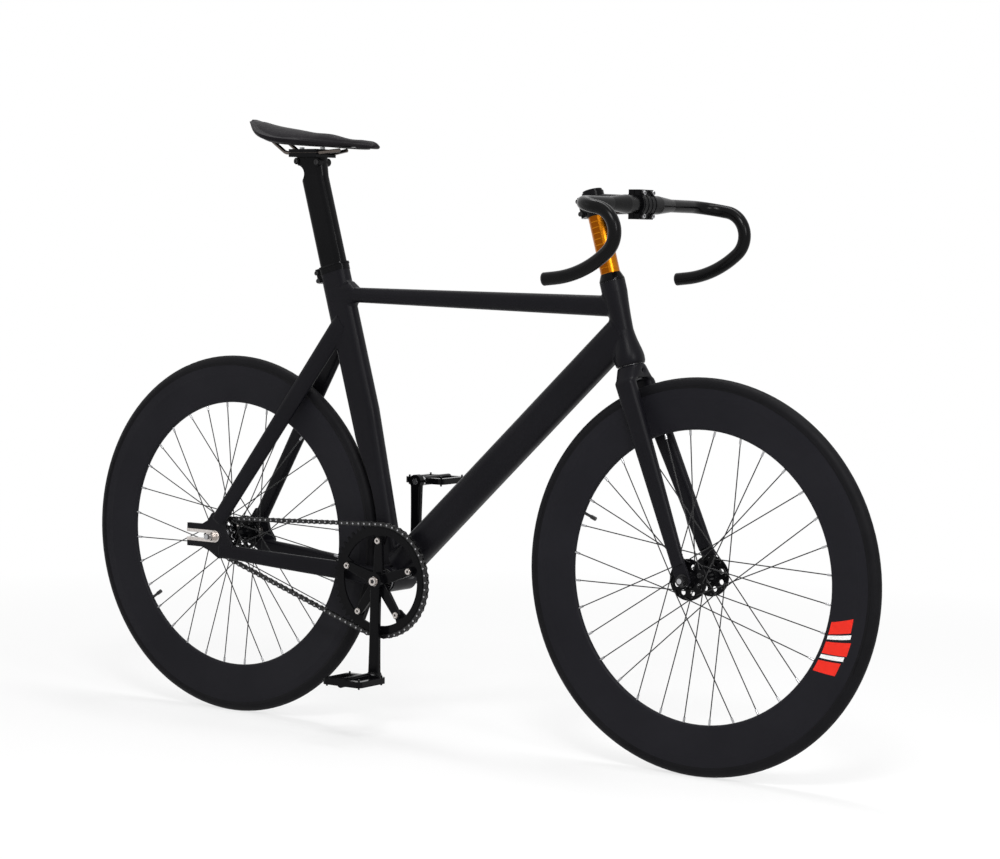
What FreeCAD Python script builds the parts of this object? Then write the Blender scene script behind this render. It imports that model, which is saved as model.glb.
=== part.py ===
import FreeCAD, Part
import math
import os

# Fixed gear bicycle, modelled upright on its two tyres.
# +X points forward, +Y to the rider's left, +Z up, millimetres.
# The origin is on the ground, midway between the two axles.

# Overall layout
wheelbase = 1010.0
tyre_outer_radius = 336.0
bracket_drop = 53.3
stay_clearance = 42.0
head_tilt = 16.0
seat_tilt = 16.0
fork_rake = 41.0

# Shared fits
overrun = 2.0
running_fit = 0.05
sliding_fit = 0.1
seat_gap = 0.05
moving_gap = 0.8
tube_corner_share = 0.44

# Wheels
tyre_width = 25.0
tyre_height = 18.0
rim_width = 23.0
rim_depth = 70.0
rim_track_height = 16.0
rim_nose_width = 11.0
rim_nose_height = 5.0
rim_wall = 1.8
spoke_count = 32
spoke_crossings = 3
spoke_radius = 1.0
spoke_rim_offset = 0.8
nipple_radius = 2.0
nipple_length = 9.0
valve_radius = 2.6
valve_length = 24.0
valve_cap_radius = 3.6
valve_cap_length = 10.0
front_valve_angle = 158.0
rear_valve_angle = 214.0

# Hubs and axles
flange_thickness = 3.2
flange_rim_width = 9.0
flange_window_count = 8
flange_window_radius = 4.6
hub_body_radius = 13.0
hub_neck_radius = 16.0
hub_neck_length = 6.0
bearing_radius = 11.0
bearing_width = 8.0
front_flange_radius = 35.0
front_flange_offset = 37.0
front_hub_half = 48.5
front_axle_radius = 4.5
front_axle_half = 68.0
front_dropout_gap_half = 50.0
rear_flange_radius = 32.0
rear_flange_offset = 30.0
rear_hub_half = 53.0
rear_axle_radius = 5.0
rear_axle_half = 86.0
rear_dropout_gap_half = 60.0
cone_radius = 8.5
cone_gap = 0.6
nut_across_flats = 15.0
nut_height = 8.5
washer_radius = 11.0
washer_thickness = 2.0

# Drive
chain_pitch = 12.7
ring_teeth = 50
cog_teeth = 16
chain_line = 45.5
roller_radius = 3.87
roller_seat_gap = 0.25
chain_inner_width = 3.3
chain_plate_thickness = 1.0
chain_plate_half_height = 4.1
chain_plate_gap = 0.05
pin_radius = 1.8
pin_overhang = 0.5
tooth_thickness = 2.6
tooth_rise = 3.2
tooth_tip_width = 3.0
tooth_seat_angle = 55.0
cog_thread_radius = 17.4
lockring_radius = 20.5
lockring_width = 3.4
lockring_notch_radius = 1.7
lockring_notch_count = 4
link_waist_share = 0.75

# Crank set
crank_length = 172.0
ring_body_radius = 94.5
ring_inner_radius = 82.0
ring_thickness = 4.0
ring_bolt_circle_radius = 72.0
ring_tab_radius = 9.5
ring_neck_share = 1.5
ring_bolt_count = 5
ring_bolt_radius = 4.2
ring_bolt_head_radius = 5.6
ring_bolt_head_height = 1.8
spider_thickness = 8.0
spider_root_width = 21.0
spider_tip_width = 15.0
spider_root_share = 0.6
spider_corner_share = 0.2
crank_boss_radius = 15.5
crank_boss_inner = 46.0
crank_boss_outer = 66.0
crank_root_width = 21.0
crank_tip_width = 23.0
crank_thickness = 12.0
crank_waist_share = 0.2
crank_corner_share = 0.3
crank_root_offset = 59.5
crank_tip_offset = 60.5
crank_eye_radius = 12.5
spindle_radius = 8.5
spindle_half = 63.0
crank_bolt_radius = 6.6
crank_bolt_height = 3.6

# Pedals
pedal_length = 85.0
pedal_width = 80.0
pedal_thickness = 11.0
pedal_corner = 9.0
pedal_end_bar = 9.0
pedal_side_bar = 12.0
pedal_boss_radius = 8.5
pedal_inner_gap = 13.0
pedal_axle_radius = 6.0
pedal_axle_length = 74.0
pedal_collar_radius = 8.0
pedal_pin_radius = 1.7
pedal_pin_height = 3.4
pedal_pin_inset = 7.0
pedal_window_corner_share = 0.2

# Bottom bracket
shell_radius = 23.0
shell_half = 34.0
shell_wall = 3.0
cup_flange_radius = 21.0
cup_flange_width = 4.0
cup_depth = 16.0

# Seat tube and seatpost
seat_axis_lead = 10.6
seat_tube_length = 586.0
post_chord = 53.0
post_thickness = 28.0
post_wall = 2.4
seat_tube_wall = 2.1
seat_tube_neck_wall = 0.9
seat_tube_taper = 20.0
seat_tube_taper_height = 310.0
wheel_cut_gap = 13.0
post_exposed = 168.0
post_inserted = 112.0
post_neck_radius = 16.0
post_neck_rise = 12.0
post_neck_back = 2.0
post_head_length = 62.0
post_head_width = 30.0
post_head_height = 9.0
collar_wall = 1.9
collar_height = 14.0
collar_lug_length = 9.0
collar_lug_width = 18.0
collar_lug_drop = 12.0
collar_slit = 2.0
lug_corner_share = 0.3
slit_corner_share = 0.1
collar_bolt_radius = 2.5
collar_bolt_head_radius = 4.2
collar_bolt_head_height = 4.0

# Saddle, its rails and clamp
rail_rise = 42.0
clamp_setback = 7.0
clamp_length = 64.0
clamp_lower_height = 8.0
clamp_upper_height = 6.5
clamp_overhang = 7.0
clamp_split = 0.6
clamp_bolt_radius = 2.6
clamp_bolt_spacing = 48.0
clamp_bolt_head_radius = 4.6
clamp_bolt_head_height = 4.2
clamp_barrel_radius = 5.5
rail_radius = 3.5
rail_spread = 44.0
rail_nose_spread = 20.0
rail_bend = 16.0
rail_flat_back = 44.0
rail_flat_front = 36.0
rail_rear_reach = 74.0
rail_nose_reach = 72.0
rail_gap = 0.3
saddle_length = 275.0
saddle_width = 134.0
saddle_rise = 66.0
saddle_rear_overhang = 125.0
saddle_base_thickness = 3.0
saddle_base_gap = 0.6
saddle_station_shares = (0.0, 0.033, 0.126, 0.3, 0.5, 0.7, 0.9, 0.985, 1.0)
saddle_top_shares = (0.985, 0.93, 0.8, 0.675, 0.55, 0.437, 0.347, 0.277, 0.204)
saddle_bottom_shares = (0.86, 0.76, 0.5, 0.285, 0.235, 0.182, 0.144, 0.132, 0.16)
saddle_half_width_shares = (0.5, 0.62, 0.86, 0.82, 0.515, 0.315, 0.277, 0.202, 0.1)
saddle_bottom_width_share = 0.9
saddle_shoulder_width_share = 0.8
saddle_shoulder_height_shares = (0.7, 0.55, 0.42, 0.52, 0.57, 0.555, 0.56, 0.56, 0.56)
saddle_side_share = 0.46
saddle_base_width_share = 0.74
saddle_base_corner_share = 0.2

# Frame tubes
tube_wall = 2.0
tube_cap = 16.0
crown_clearance = 39.5
head_tube_length = 146.0
head_top_radius = 22.0
head_waist_radius = 17.6
head_bottom_radius = 24.0
head_top_length = 18.0
head_waist_drop = 92.0
head_bottom_length = 16.0
head_wall = 1.6
head_waist_share = 0.32
top_tube_rear_drop = 55.5
top_tube_front_drop = 43.0
top_tube_rear_height = 27.0
top_tube_front_height = 36.0
top_tube_width = 33.0
top_tube_flare = 11.0
top_tube_flare_length = 13.0
down_tube_front_rise = 60.0
down_tube_rise = 10.0
down_tube_setback = 18.0
down_tube_depth = 59.0
down_tube_rear_width = 50.0
down_tube_front_width = 39.0
seatstay_drop = 115.0
seatstay_top_offset = 11.0
seatstay_end_lead = 11.0
seatstay_end_rise = 30.0
seatstay_depth = 21.5
seatstay_width = 13.0
chainstay_end_drop = 26.0
chainstay_root_height = 36.0
chainstay_tip_height = 25.0
chainstay_root_width = 17.0
chainstay_tip_width = 14.0
chainstay_station_shares = (0.03, 0.18, 0.29, 0.48, 0.75, 0.95)
chainstay_spread_shares = (0.28, 0.35, 0.425, 0.62, 0.87, 1.0)

# Rear dropouts, with outline points as shares of the prong length and height
dropout_thickness = 7.0
dropout_prong_length = 62.0
dropout_half_height = 21.5
dropout_corner = 5.0
slot_lead = 6.0
insert_wall = 6.0
insert_proud = 1.0
dropout_top_shares = ((-1.0, 1.0), (-0.42, 1.0), (-0.2, 1.35), (-0.02, 2.1), (0.36, 1.75))
dropout_low_shares = ((0.5, 0.3), (0.72, -0.55), (0.66, -1.75), (0.24, -1.9), (-0.12, -1.3),
                      (-0.42, -1.0), (-1.0, -1.0))

# Headset, fork and steerer
steerer_radius = 14.3
steerer_wall = 2.6
headset_bearing_radius = 20.0
headset_bearing_height = 7.0
cover_base_radius = 22.0
cover_top_radius = 17.4
cover_lip = 3.0
cover_height = 14.0
crown_top_radius = 23.6
crown_lower_depth = 41.0
crown_lower_width = 78.0
crown_drop = 25.0
race_corner_share = 0.49
crown_corner_share = 0.42
brake_hole_radius = 3.2
brake_hole_drop = 12.0
blade_top_offset = 27.5
blade_top_depth = 40.0
blade_top_width = 23.0
blade_tip_depth = 25.0
blade_tip_width = 13.0
blade_tip_offset = 53.0
blade_tip_rise = 26.0
fork_end_thickness = 6.0
fork_end_radius = 13.0

# Riser column, stem and bar
column_length = 101.0
column_radius = 16.8
column_pocket_count = 10
column_pocket_width = 15.0
column_pocket_depth = 1.5
column_rib = 1.8
stem_clamp_height = 42.0
stem_clamp_radius = 19.0
stem_length = 91.0
stem_rear_height = 37.0
stem_front_height = 32.0
stem_rear_width = 33.0
stem_front_width = 38.0
stem_drop = 0.0
stem_lug_length = 10.0
stem_lug_height = 36.0
stem_lug_width = 22.0
bar_clamp_radius = 15.9
bar_clamp_wall = 4.6
bar_clamp_width = 44.0
bar_clamp_gap = 1.2
bar_ear_height = 9.0
bar_ear_depth = 11.0
bar_bolt_radius = 2.5
bar_bolt_head_radius = 4.2
bar_bolt_head_height = 4.5
bar_bolt_spacing = 30.0
pinch_bolt_inset = 10.0
cap_radius = 17.0
cap_height = 4.0
cap_edge_share = 0.25
bar_radius = 11.1
bar_wall = 2.0
bar_bulge_half = 52.0
bar_taper_length = 46.0
bar_straight_half = 165.0
bar_bend_radius = 48.0
bar_hook_radius = 42.0
bar_tail_radius = 180.0
bar_tail_length = 18.0
bar_hook_slope = 10.0
bar_hook_turn = 129.0
bar_tail_turn = 35.0
plug_length = 16.0
plug_cap = 2.5

Vector = FreeCAD.Vector
origin = Vector(0, 0, 0)
x_way = Vector(1, 0, 0)
y_way = Vector(0, 1, 0)
z_way = Vector(0, 0, 1)
quarter_turn = 90.0
full_turn = 360.0
hex_sides = 6
search_steps = 44


def rounded_wire(centre, deep_way, wide_way, deep, wide, corner_share=tube_corner_share):
    """Rounded rectangle, deep along deep_way and wide along wide_way."""
    corner = corner_share * min(deep, wide)
    a = deep / 2
    b = wide / 2
    cut = corner * (1 - math.sqrt(0.5))

    def at(u, v):
        return centre + deep_way * u + wide_way * v

    edges = []
    for u, v in ((1, 1), (-1, 1), (-1, -1), (1, -1)):
        side = at(u * a, v * (b - corner))
        middle = at(u * (a - cut), v * (b - cut))
        end = at(u * (a - corner), v * b)
        if u * v < 0:
            side, end = end, side
        edges.append((side, middle, end))
    outline = []
    for index, (start, middle, end) in enumerate(edges):
        outline.append(Part.Arc(start, middle, end).toShape())
        following = edges[(index + 1) % len(edges)][0]
        outline.append(Part.LineSegment(end, following).toShape())
    return Part.Wire(outline)


def tube(sections, wall, straight=False, cap=0):
    """Hollow tube lofted through sections (centre, deep_way, wide_way, deep, wide).

    A cap leaves that length of the first end solid.
    """
    outer = solid_tube(sections, straight)
    start = sections[0][0]
    shift = (sections[1][0] - start).normalize() * cap
    inner = []
    for centre, deep_way, wide_way, deep, wide in sections:
        spot = centre + shift if centre is start else centre
        inner.append(rounded_wire(spot, deep_way, wide_way, deep - 2 * wall, wide - 2 * wall))
    return outer.cut(Part.makeLoft(inner, True, straight))


def solid_tube(sections, straight=False):
    """Solid loft through sections, with straight runs between them if asked."""
    return Part.makeLoft([rounded_wire(*section) for section in sections], True, straight)


def round_bar(start, end, radius):
    way = end - start
    return Part.makeCylinder(radius, way.Length, start, way)


def y_disc(radius, low, high, centre=origin):
    """Cylinder about a line along Y through centre, from y = low to y = high."""
    return Part.makeCylinder(radius, high - low, Vector(centre.x, low, centre.z), y_way)


def y_ring(outer, inner, low, high, centre=origin):
    return y_disc(outer, low, high, centre).cut(y_disc(inner, low - overrun, high + overrun, centre))


def block(low, high):
    size = high - low
    return Part.makeBox(size.x, size.y, size.z, low)


def spun(points, axis):
    """Solid of revolution of a closed outline about a line through the origin."""
    outline = Part.makePolygon(points + [points[0]])
    return Part.Face(outline).revolve(origin, axis, full_turn)


def mirrored(shape):
    return shape.mirror(origin, y_way)


def both_sides(shape):
    return [shape, mirrored(shape)]


def hex_nut(across_flats, low, high, centre):
    radius = across_flats / math.sqrt(3)
    corners = []
    for index in range(hex_sides):
        angle = math.radians(full_turn * index / hex_sides)
        corners.append(Vector(centre.x + radius * math.cos(angle), low, centre.z + radius * math.sin(angle)))
    return Part.Face(Part.makePolygon(corners + [corners[0]])).extrude(y_way * (high - low))


def turn(point, heading, toward, radius, angle):
    """Arc that leaves point along heading and bends toward the given side."""
    def at(share):
        sweep = math.radians(angle) * share
        return point + heading * (radius * math.sin(sweep)) + toward * (radius * (1 - math.cos(sweep)))

    bend = math.radians(angle)
    new_heading = heading * math.cos(bend) + toward * math.sin(bend)
    new_toward = toward * math.cos(bend) - heading * math.sin(bend)
    return Part.Arc(at(0), at(0.5), at(1)).toShape(), at(1), new_heading, new_toward


def rounded_path(points, radius):
    """Straight runs joined by tangent arcs of one radius."""
    edges = []
    start = points[0]
    for before, corner, after in zip(points, points[1:], points[2:]):
        inward = (before - corner).normalize()
        outward = (after - corner).normalize()
        half_angle = inward.getAngle(outward) / 2
        reach = radius / math.tan(half_angle)
        middle = (inward + outward).normalize()
        crest = corner + middle * (radius / math.sin(half_angle) - radius)
        edges.append(Part.LineSegment(start, corner + inward * reach).toShape())
        edges.append(Part.Arc(corner + inward * reach, crest, corner + outward * reach).toShape())
        start = corner + outward * reach
    edges.append(Part.LineSegment(start, points[-1]).toShape())
    return Part.Wire(edges)


def swept(path, radius):
    first = path.OrderedEdges[0]
    start = first.valueAt(first.FirstParameter)
    heading = first.tangentAt(first.FirstParameter)
    circle = Part.Wire([Part.Circle(start, heading, radius).toShape()])
    return path.makePipeShell([circle], True, False)


def save(name, solids):
    """Write one node: a solid, or several solids side by side."""
    solids = solids if isinstance(solids, list) else [solids]
    flat = []
    for solid in solids:
        flat.extend(solid.Solids)
    shape = flat[0] if len(flat) == 1 else Part.makeCompound(flat)
    shape.exportStep("parts/" + name + ".step")


# Places that the pieces share

front_axle_place = Vector(wheelbase / 2, 0, tyre_outer_radius)
rear_axle_place = Vector(-wheelbase / 2, 0, tyre_outer_radius)

steer_up = Vector(-math.sin(math.radians(head_tilt)), 0, math.cos(math.radians(head_tilt)))
steer_ahead = Vector(math.cos(math.radians(head_tilt)), 0, math.sin(math.radians(head_tilt)))
steer_base = front_axle_place - steer_ahead * fork_rake
steer_frame = FreeCAD.Placement(steer_base, FreeCAD.Rotation(y_way, -head_tilt))

seat_up = Vector(-math.sin(math.radians(seat_tilt)), 0, math.cos(math.radians(seat_tilt)))
seat_ahead = Vector(math.cos(math.radians(seat_tilt)), 0, math.sin(math.radians(seat_tilt)))

crown_height = tyre_outer_radius + crown_clearance
head_bottom = crown_height + moving_gap
head_top = head_bottom + head_tube_length
cover_bottom = head_top + moving_gap
column_bottom = cover_bottom + cover_height
column_top = column_bottom + column_length
stem_top = column_top + stem_clamp_height


def pitch_radius(teeth):
    return chain_pitch / (2 * math.sin(math.pi / teeth))


ring_radius = pitch_radius(ring_teeth)
cog_radius = pitch_radius(cog_teeth)


def steering(height, ahead=0.0, side=0.0):
    """Point at a height along the steering axis, offset ahead of it and to the left."""
    return steer_base + steer_up * height + steer_ahead * ahead + y_way * side


def on_steering(shape):
    placed = shape.copy()
    placed.Placement = steer_frame.multiply(placed.Placement)
    return placed


# Chain path: pitch circles joined by their outer tangents

def chain_route(distance, drop):
    """Slope of the line of centres, and the lean of the tangent runs from it."""
    slope = math.atan2(-drop, math.sqrt(distance ** 2 - drop ** 2))
    lean = math.asin((ring_radius - cog_radius) / distance)
    return slope, lean


def chain_point(distance, drop, place):
    """Point on the path at a length from the top of the cog, running forward."""
    slope, lean = chain_route(distance, drop)
    run = distance * math.cos(lean)
    ring_arc = ring_radius * (math.pi + 2 * lean)
    cog_arc = cog_radius * (math.pi - 2 * lean)
    total = 2 * run + ring_arc + cog_arc
    place = place % total
    ring_centre = Vector(distance * math.cos(slope), 0, distance * math.sin(slope))
    top = slope + math.pi / 2 + lean
    low = slope - math.pi / 2 - lean

    def spot(centre, radius, angle):
        return centre + Vector(radius * math.cos(angle), 0, radius * math.sin(angle))

    if place < run:
        start = spot(origin, cog_radius, top)
        end = spot(ring_centre, ring_radius, top)
        return start + (end - start) * (place / run)
    place -= run
    if place < ring_arc:
        return spot(ring_centre, ring_radius, top - place / ring_radius)
    place -= ring_arc
    if place < run:
        start = spot(ring_centre, ring_radius, low)
        end = spot(origin, cog_radius, low)
        return start + (end - start) * (place / run)
    place -= run
    return spot(origin, cog_radius, low - place / cog_radius)


def next_place(distance, drop, place):
    """Length along the path where the next roller sits, one pitch away in a straight line."""
    here = chain_point(distance, drop, place)
    low = place + chain_pitch / 2
    high = place + chain_pitch * 2
    for _ in range(search_steps):
        middle = (low + high) / 2
        if (chain_point(distance, drop, middle) - here).Length < chain_pitch:
            low = middle
        else:
            high = middle
    return (low + high) / 2


def chain_places(distance, drop):
    places = [0.0]
    for _ in range(chain_link_count):
        places.append(next_place(distance, drop, places[-1]))
    return places


def chain_length(distance):
    lean = math.asin((ring_radius - cog_radius) / distance)
    return (2 * distance * math.cos(lean) + ring_radius * (math.pi + 2 * lean)
            + cog_radius * (math.pi - 2 * lean))


shortest_chain = chain_length(tyre_outer_radius + stay_clearance)
chain_link_count = 2 * math.ceil(shortest_chain / (2 * chain_pitch))


def chain_distance(drop):
    """Distance between the sprockets at which the whole number of links closes."""
    low = ring_radius + cog_radius
    high = chain_link_count * chain_pitch
    for _ in range(search_steps):
        middle = (low + high) / 2
        if chain_length(middle) > chain_places(middle, drop)[-1]:
            high = middle
        else:
            low = middle
    return (low + high) / 2


sprocket_distance = chain_distance(bracket_drop)
stay_run = math.sqrt(sprocket_distance ** 2 - bracket_drop ** 2)
bracket_place = rear_axle_place + Vector(stay_run, 0, -bracket_drop)
seat_base = bracket_place + x_way * seat_axis_lead


def seating(height, ahead=0.0, side=0.0):
    """Point at a height along the seat axis, offset ahead of it and to the left."""
    return seat_base + seat_up * height + seat_ahead * ahead + y_way * side


# Wheels

def tyre_solid():
    seat = tyre_outer_radius - tyre_height
    section = tyre_width / 2
    middle = tyre_outer_radius - section
    half = math.sqrt(section ** 2 - (middle - seat) ** 2)
    shoulder = section * math.sqrt(0.5)
    low = Vector(seat, -half, 0)
    high = Vector(seat, half, 0)
    crest = Vector(tyre_outer_radius, 0, 0)
    rising = Part.Arc(low, Vector(middle + shoulder, -shoulder, 0), crest).toShape()
    falling = Part.Arc(crest, Vector(middle + shoulder, shoulder, 0), high).toShape()
    base = Part.LineSegment(high, low).toShape()
    return Part.Face(Part.Wire([rising, falling, base])).revolve(origin, y_way, full_turn)


def rim_profile(inset):
    """Deep rim section, drawn in by the wall for the hollow."""
    top = tyre_outer_radius - tyre_height - inset
    track = tyre_outer_radius - tyre_height - rim_track_height
    nose = tyre_outer_radius - tyre_height - rim_depth
    half = rim_width / 2 - inset
    nose_half = rim_nose_width / 2 - inset
    nose_start = nose + rim_nose_height
    edges = [
        Part.LineSegment(Vector(top, -half, 0), Vector(top, half, 0)),
        Part.LineSegment(Vector(top, half, 0), Vector(track, half, 0)),
        Part.LineSegment(Vector(track, half, 0), Vector(nose_start, nose_half, 0)),
        Part.Arc(Vector(nose_start, nose_half, 0), Vector(nose + inset, 0, 0),
                 Vector(nose_start, -nose_half, 0)),
        Part.LineSegment(Vector(nose_start, -nose_half, 0), Vector(track, -half, 0)),
        Part.LineSegment(Vector(track, -half, 0), Vector(top, -half, 0)),
    ]
    return Part.Wire([edge.toShape() for edge in edges])


def rim_solid():
    section = Part.Face([rim_profile(0), rim_profile(rim_wall)])
    return section.revolve(origin, y_way, full_turn)


def wheel_point(radius, angle, side):
    turn_angle = math.radians(angle)
    return Vector(radius * math.cos(turn_angle), side, radius * math.sin(turn_angle))


def hub_shell(flange_radius, flange_offset, hub_half, axle_radius, cog_side):
    """Waisted hub with two windowed flanges; the right end can carry the cog's seat."""
    inner = flange_offset - flange_thickness / 2
    outer = flange_offset + flange_thickness / 2
    bore = axle_radius + moving_gap
    half = [
        Vector(hub_body_radius, 0, 0),
        Vector(hub_body_radius, inner - hub_neck_length, 0),
        Vector(hub_neck_radius, inner, 0),
        Vector(flange_radius, inner, 0),
        Vector(flange_radius, outer, 0),
        Vector(hub_neck_radius, outer, 0),
        Vector(hub_body_radius, hub_half, 0),
        Vector(bearing_radius, hub_half, 0),
        Vector(bearing_radius, hub_half - bearing_width, 0),
        Vector(bore, hub_half - bearing_width, 0),
        Vector(bore, 0, 0),
    ]
    left = spun(half, y_way)
    shell = left.fuse(mirrored(left))
    if cog_side:
        seat_end = chain_line + tooth_thickness / 2 + lockring_width
        shell = shell.fuse(y_ring(cog_thread_radius, hub_body_radius - rim_wall, -seat_end, -outer + overrun))
    window_circle = (flange_radius - flange_rim_width + hub_neck_radius) / 2 + flange_window_radius / 2
    windows = []
    for index in range(flange_window_count):
        spot = wheel_point(window_circle, (index + 0.5) * full_turn / flange_window_count, 0)
        windows.append(y_disc(flange_window_radius, inner - overrun / 2, outer + overrun / 2, spot))
    windows = Part.makeCompound(windows)
    shell = shell.cut(windows)
    shell = shell.cut(mirrored(windows))
    return shell.removeSplitter()


def hub_bearings(hub_half, axle_radius):
    ring = y_ring(bearing_radius, axle_radius + running_fit, hub_half - bearing_width, hub_half)
    return both_sides(ring)


def spokes_and_nipples(flange_radius, flange_offset):
    """Tangent spokes, alternately on the outer and inner face of each flange."""
    per_side = spoke_count // 2
    step = full_turn / per_side
    hole_circle = flange_radius - flange_rim_width / 2
    rim_end = tyre_outer_radius - tyre_height - rim_depth - seat_gap
    face = flange_thickness / 2 + spoke_radius + seat_gap
    climb = flange_offset / (rim_end - hole_circle) * math.sqrt(flange_radius ** 2 - hole_circle ** 2)
    spokes = []
    nipples = []
    for side in (-1, 1):
        for index in range(per_side):
            leading = index % 2 == 0
            shift = step * spoke_crossings * (1 if leading else -1)
            phase = step / 4 * side
            layer = flange_offset + (face + climb if leading else -face)
            hub_end = wheel_point(hole_circle, step * index + phase, side * layer)
            tip = wheel_point(rim_end, step * index + shift + phase, side * spoke_rim_offset)
            way = (tip - hub_end).normalize()
            lean = way.getAngle(wheel_point(1, step * index + shift + phase, 0))
            tip = tip - way * (nipple_radius * math.tan(lean))
            neck = tip - way * nipple_length
            spokes.append(round_bar(hub_end, neck, spoke_radius))
            nipples.append(round_bar(neck, tip, nipple_radius))
    return spokes, nipples


def valve_solid(angle):
    rim_end = tyre_outer_radius - tyre_height - rim_depth - seat_gap
    stem_end = rim_end - valve_length
    stem = round_bar(wheel_point(rim_end, angle, 0), wheel_point(stem_end, angle, 0), valve_radius)
    cap_start = wheel_point(stem_end + valve_cap_length, angle, 0)
    cap = round_bar(cap_start, wheel_point(stem_end, angle, 0), valve_cap_radius)
    return stem.fuse(cap).removeSplitter()


def axle_solid(axle_radius, axle_half, hub_half, dropout_half):
    """Axle with the cone and locknut that stand between each bearing and its dropout."""
    axle = y_disc(axle_radius, -axle_half, axle_half)
    for ring in both_sides(y_disc(cone_radius, hub_half + cone_gap, dropout_half)):
        axle = axle.fuse(ring)
    return axle.removeSplitter()


def axle_nuts(axle_radius, start):
    washer = y_disc(washer_radius, start, start + washer_thickness)
    nut = hex_nut(nut_across_flats, start + washer_thickness, start + washer_thickness + nut_height, origin)
    hole = y_disc(axle_radius, start - overrun, start + washer_thickness + nut_height + overrun)
    return both_sides(washer.fuse(nut).cut(hole))


def at_axle(solids, place):
    solids = solids if isinstance(solids, list) else [solids]
    placed = []
    for solid in solids:
        placed.append(solid.translated(place))
    return placed


def make_wheels():
    wheels = (
        ("front", front_axle_place, front_flange_radius, front_flange_offset, front_hub_half,
         front_axle_radius, front_axle_half, front_dropout_gap_half, fork_end_thickness, front_valve_angle),
        ("rear", rear_axle_place, rear_flange_radius, rear_flange_offset, rear_hub_half,
         rear_axle_radius, rear_axle_half, rear_dropout_gap_half, dropout_thickness + insert_proud,
         rear_valve_angle),
    )
    for name, place, flange, offset, hub_half, axle, axle_half, gap_half, plate, valve_angle in wheels:
        shell = hub_shell(flange, offset, hub_half, axle, name == "rear")
        save(name + "_tyre", at_axle(tyre_solid(), place))
        save(name + "_rim", at_axle(rim_solid(), place))
        save(name + "_hub_shell", at_axle(shell, place))
        save(name + "_hub_bearings", at_axle(hub_bearings(hub_half, axle), place))
        spokes, nipples = spokes_and_nipples(flange, offset)
        save(name + "_spokes", at_axle(spokes, place))
        save(name + "_nipples", at_axle(nipples, place))
        save(name + "_valve", at_axle(valve_solid(valve_angle), place))
        save(name + "_axle", at_axle(axle_solid(axle, axle_half, hub_half, gap_half), place))
        save(name + "_axle_nuts", at_axle(axle_nuts(axle, gap_half + plate), place))


# Sprockets and chain

def tooth_outline(teeth, centre, first_angle):
    """Toothed outline whose roller seats fall on the pitch circle at first_angle and on."""
    radius = pitch_radius(teeth)
    seat = roller_radius + roller_seat_gap
    step = full_turn / teeth
    tip_half = math.degrees(tooth_tip_width / 2 / (radius + tooth_rise))
    edges = []
    ends = []
    for index in range(teeth):
        angle = first_angle + step * index
        out = wheel_point(1, angle, 0)
        along = wheel_point(1, angle + quarter_turn, 0)
        roller = centre + out * radius
        swing = math.radians(tooth_seat_angle)
        dip = out * (-seat * math.cos(swing))
        reach = along * (seat * math.sin(swing))
        start = roller + dip - reach
        end = roller + dip + reach
        left_tip = centre + wheel_point(radius + tooth_rise, angle + step / 2 - tip_half, 0)
        right_tip = centre + wheel_point(radius + tooth_rise, angle + step / 2 + tip_half, 0)
        ends.append((start, roller - out * seat, end, left_tip, right_tip))
    for index, (start, bottom, end, left_tip, right_tip) in enumerate(ends):
        following = ends[(index + 1) % teeth][0]
        edges.append(Part.Arc(start, bottom, end).toShape())
        edges.append(Part.LineSegment(end, left_tip).toShape())
        edges.append(Part.LineSegment(left_tip, right_tip).toShape())
        edges.append(Part.LineSegment(right_tip, following).toShape())
    return Part.Wire(edges)


def toothed_disc(teeth, centre, first_angle):
    start = y_way * (-chain_line - tooth_thickness / 2)
    outline = tooth_outline(teeth, centre, first_angle)
    return Part.Face(outline).extrude(y_way * tooth_thickness).translated(start)


def roller_angle(rollers, centre, radius):
    """Angle of the roller that lies nearest to the pitch circle, seen from centre."""
    best = min(rollers, key=lambda spot: abs((spot - centre).Length - radius))
    return math.degrees(math.atan2(best.z - centre.z, best.x - centre.x))


def link_plate(low, high):
    """Chain plate with waisted sides, lying along +X from the first roller."""
    r = chain_plate_half_height
    waist = roller_radius * link_waist_share
    middle = chain_pitch / 2
    top = [Vector(0, low, r), Vector(middle, low, waist), Vector(chain_pitch, low, r)]
    bottom = [Vector(chain_pitch, low, -r), Vector(middle, low, -waist), Vector(0, low, -r)]
    outline = Part.Wire([
        Part.makePolygon(top),
        Part.Arc(top[2], Vector(chain_pitch + r, low, 0), bottom[0]).toShape(),
        Part.makePolygon(bottom),
        Part.Arc(bottom[2], Vector(-r, low, 0), top[0]).toShape(),
    ])
    return Part.Face(outline).extrude(y_way * (high - low))


def link_solids():
    """One inner link with its rollers and one outer link with its pins."""
    inner_face = chain_inner_width / 2
    inner_back = inner_face + chain_plate_thickness
    outer_face = inner_back + chain_plate_gap
    outer_back = outer_face + chain_plate_thickness
    joints = (origin, x_way * chain_pitch)
    inner = link_plate(inner_face, inner_back).fuse(link_plate(-inner_back, -inner_face))
    outer = link_plate(outer_face, outer_back).fuse(link_plate(-outer_back, -outer_face))
    for joint in joints:
        inner = inner.fuse(y_disc(roller_radius, -inner_face, inner_face, joint))
        outer = outer.fuse(y_disc(pin_radius, -outer_back - pin_overhang, outer_back + pin_overhang, joint))
    for joint in joints:
        hole_end = inner_back + overrun
        inner = inner.cut(y_disc(pin_radius + running_fit, -hole_end, hole_end, joint))
    return inner, outer


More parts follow.
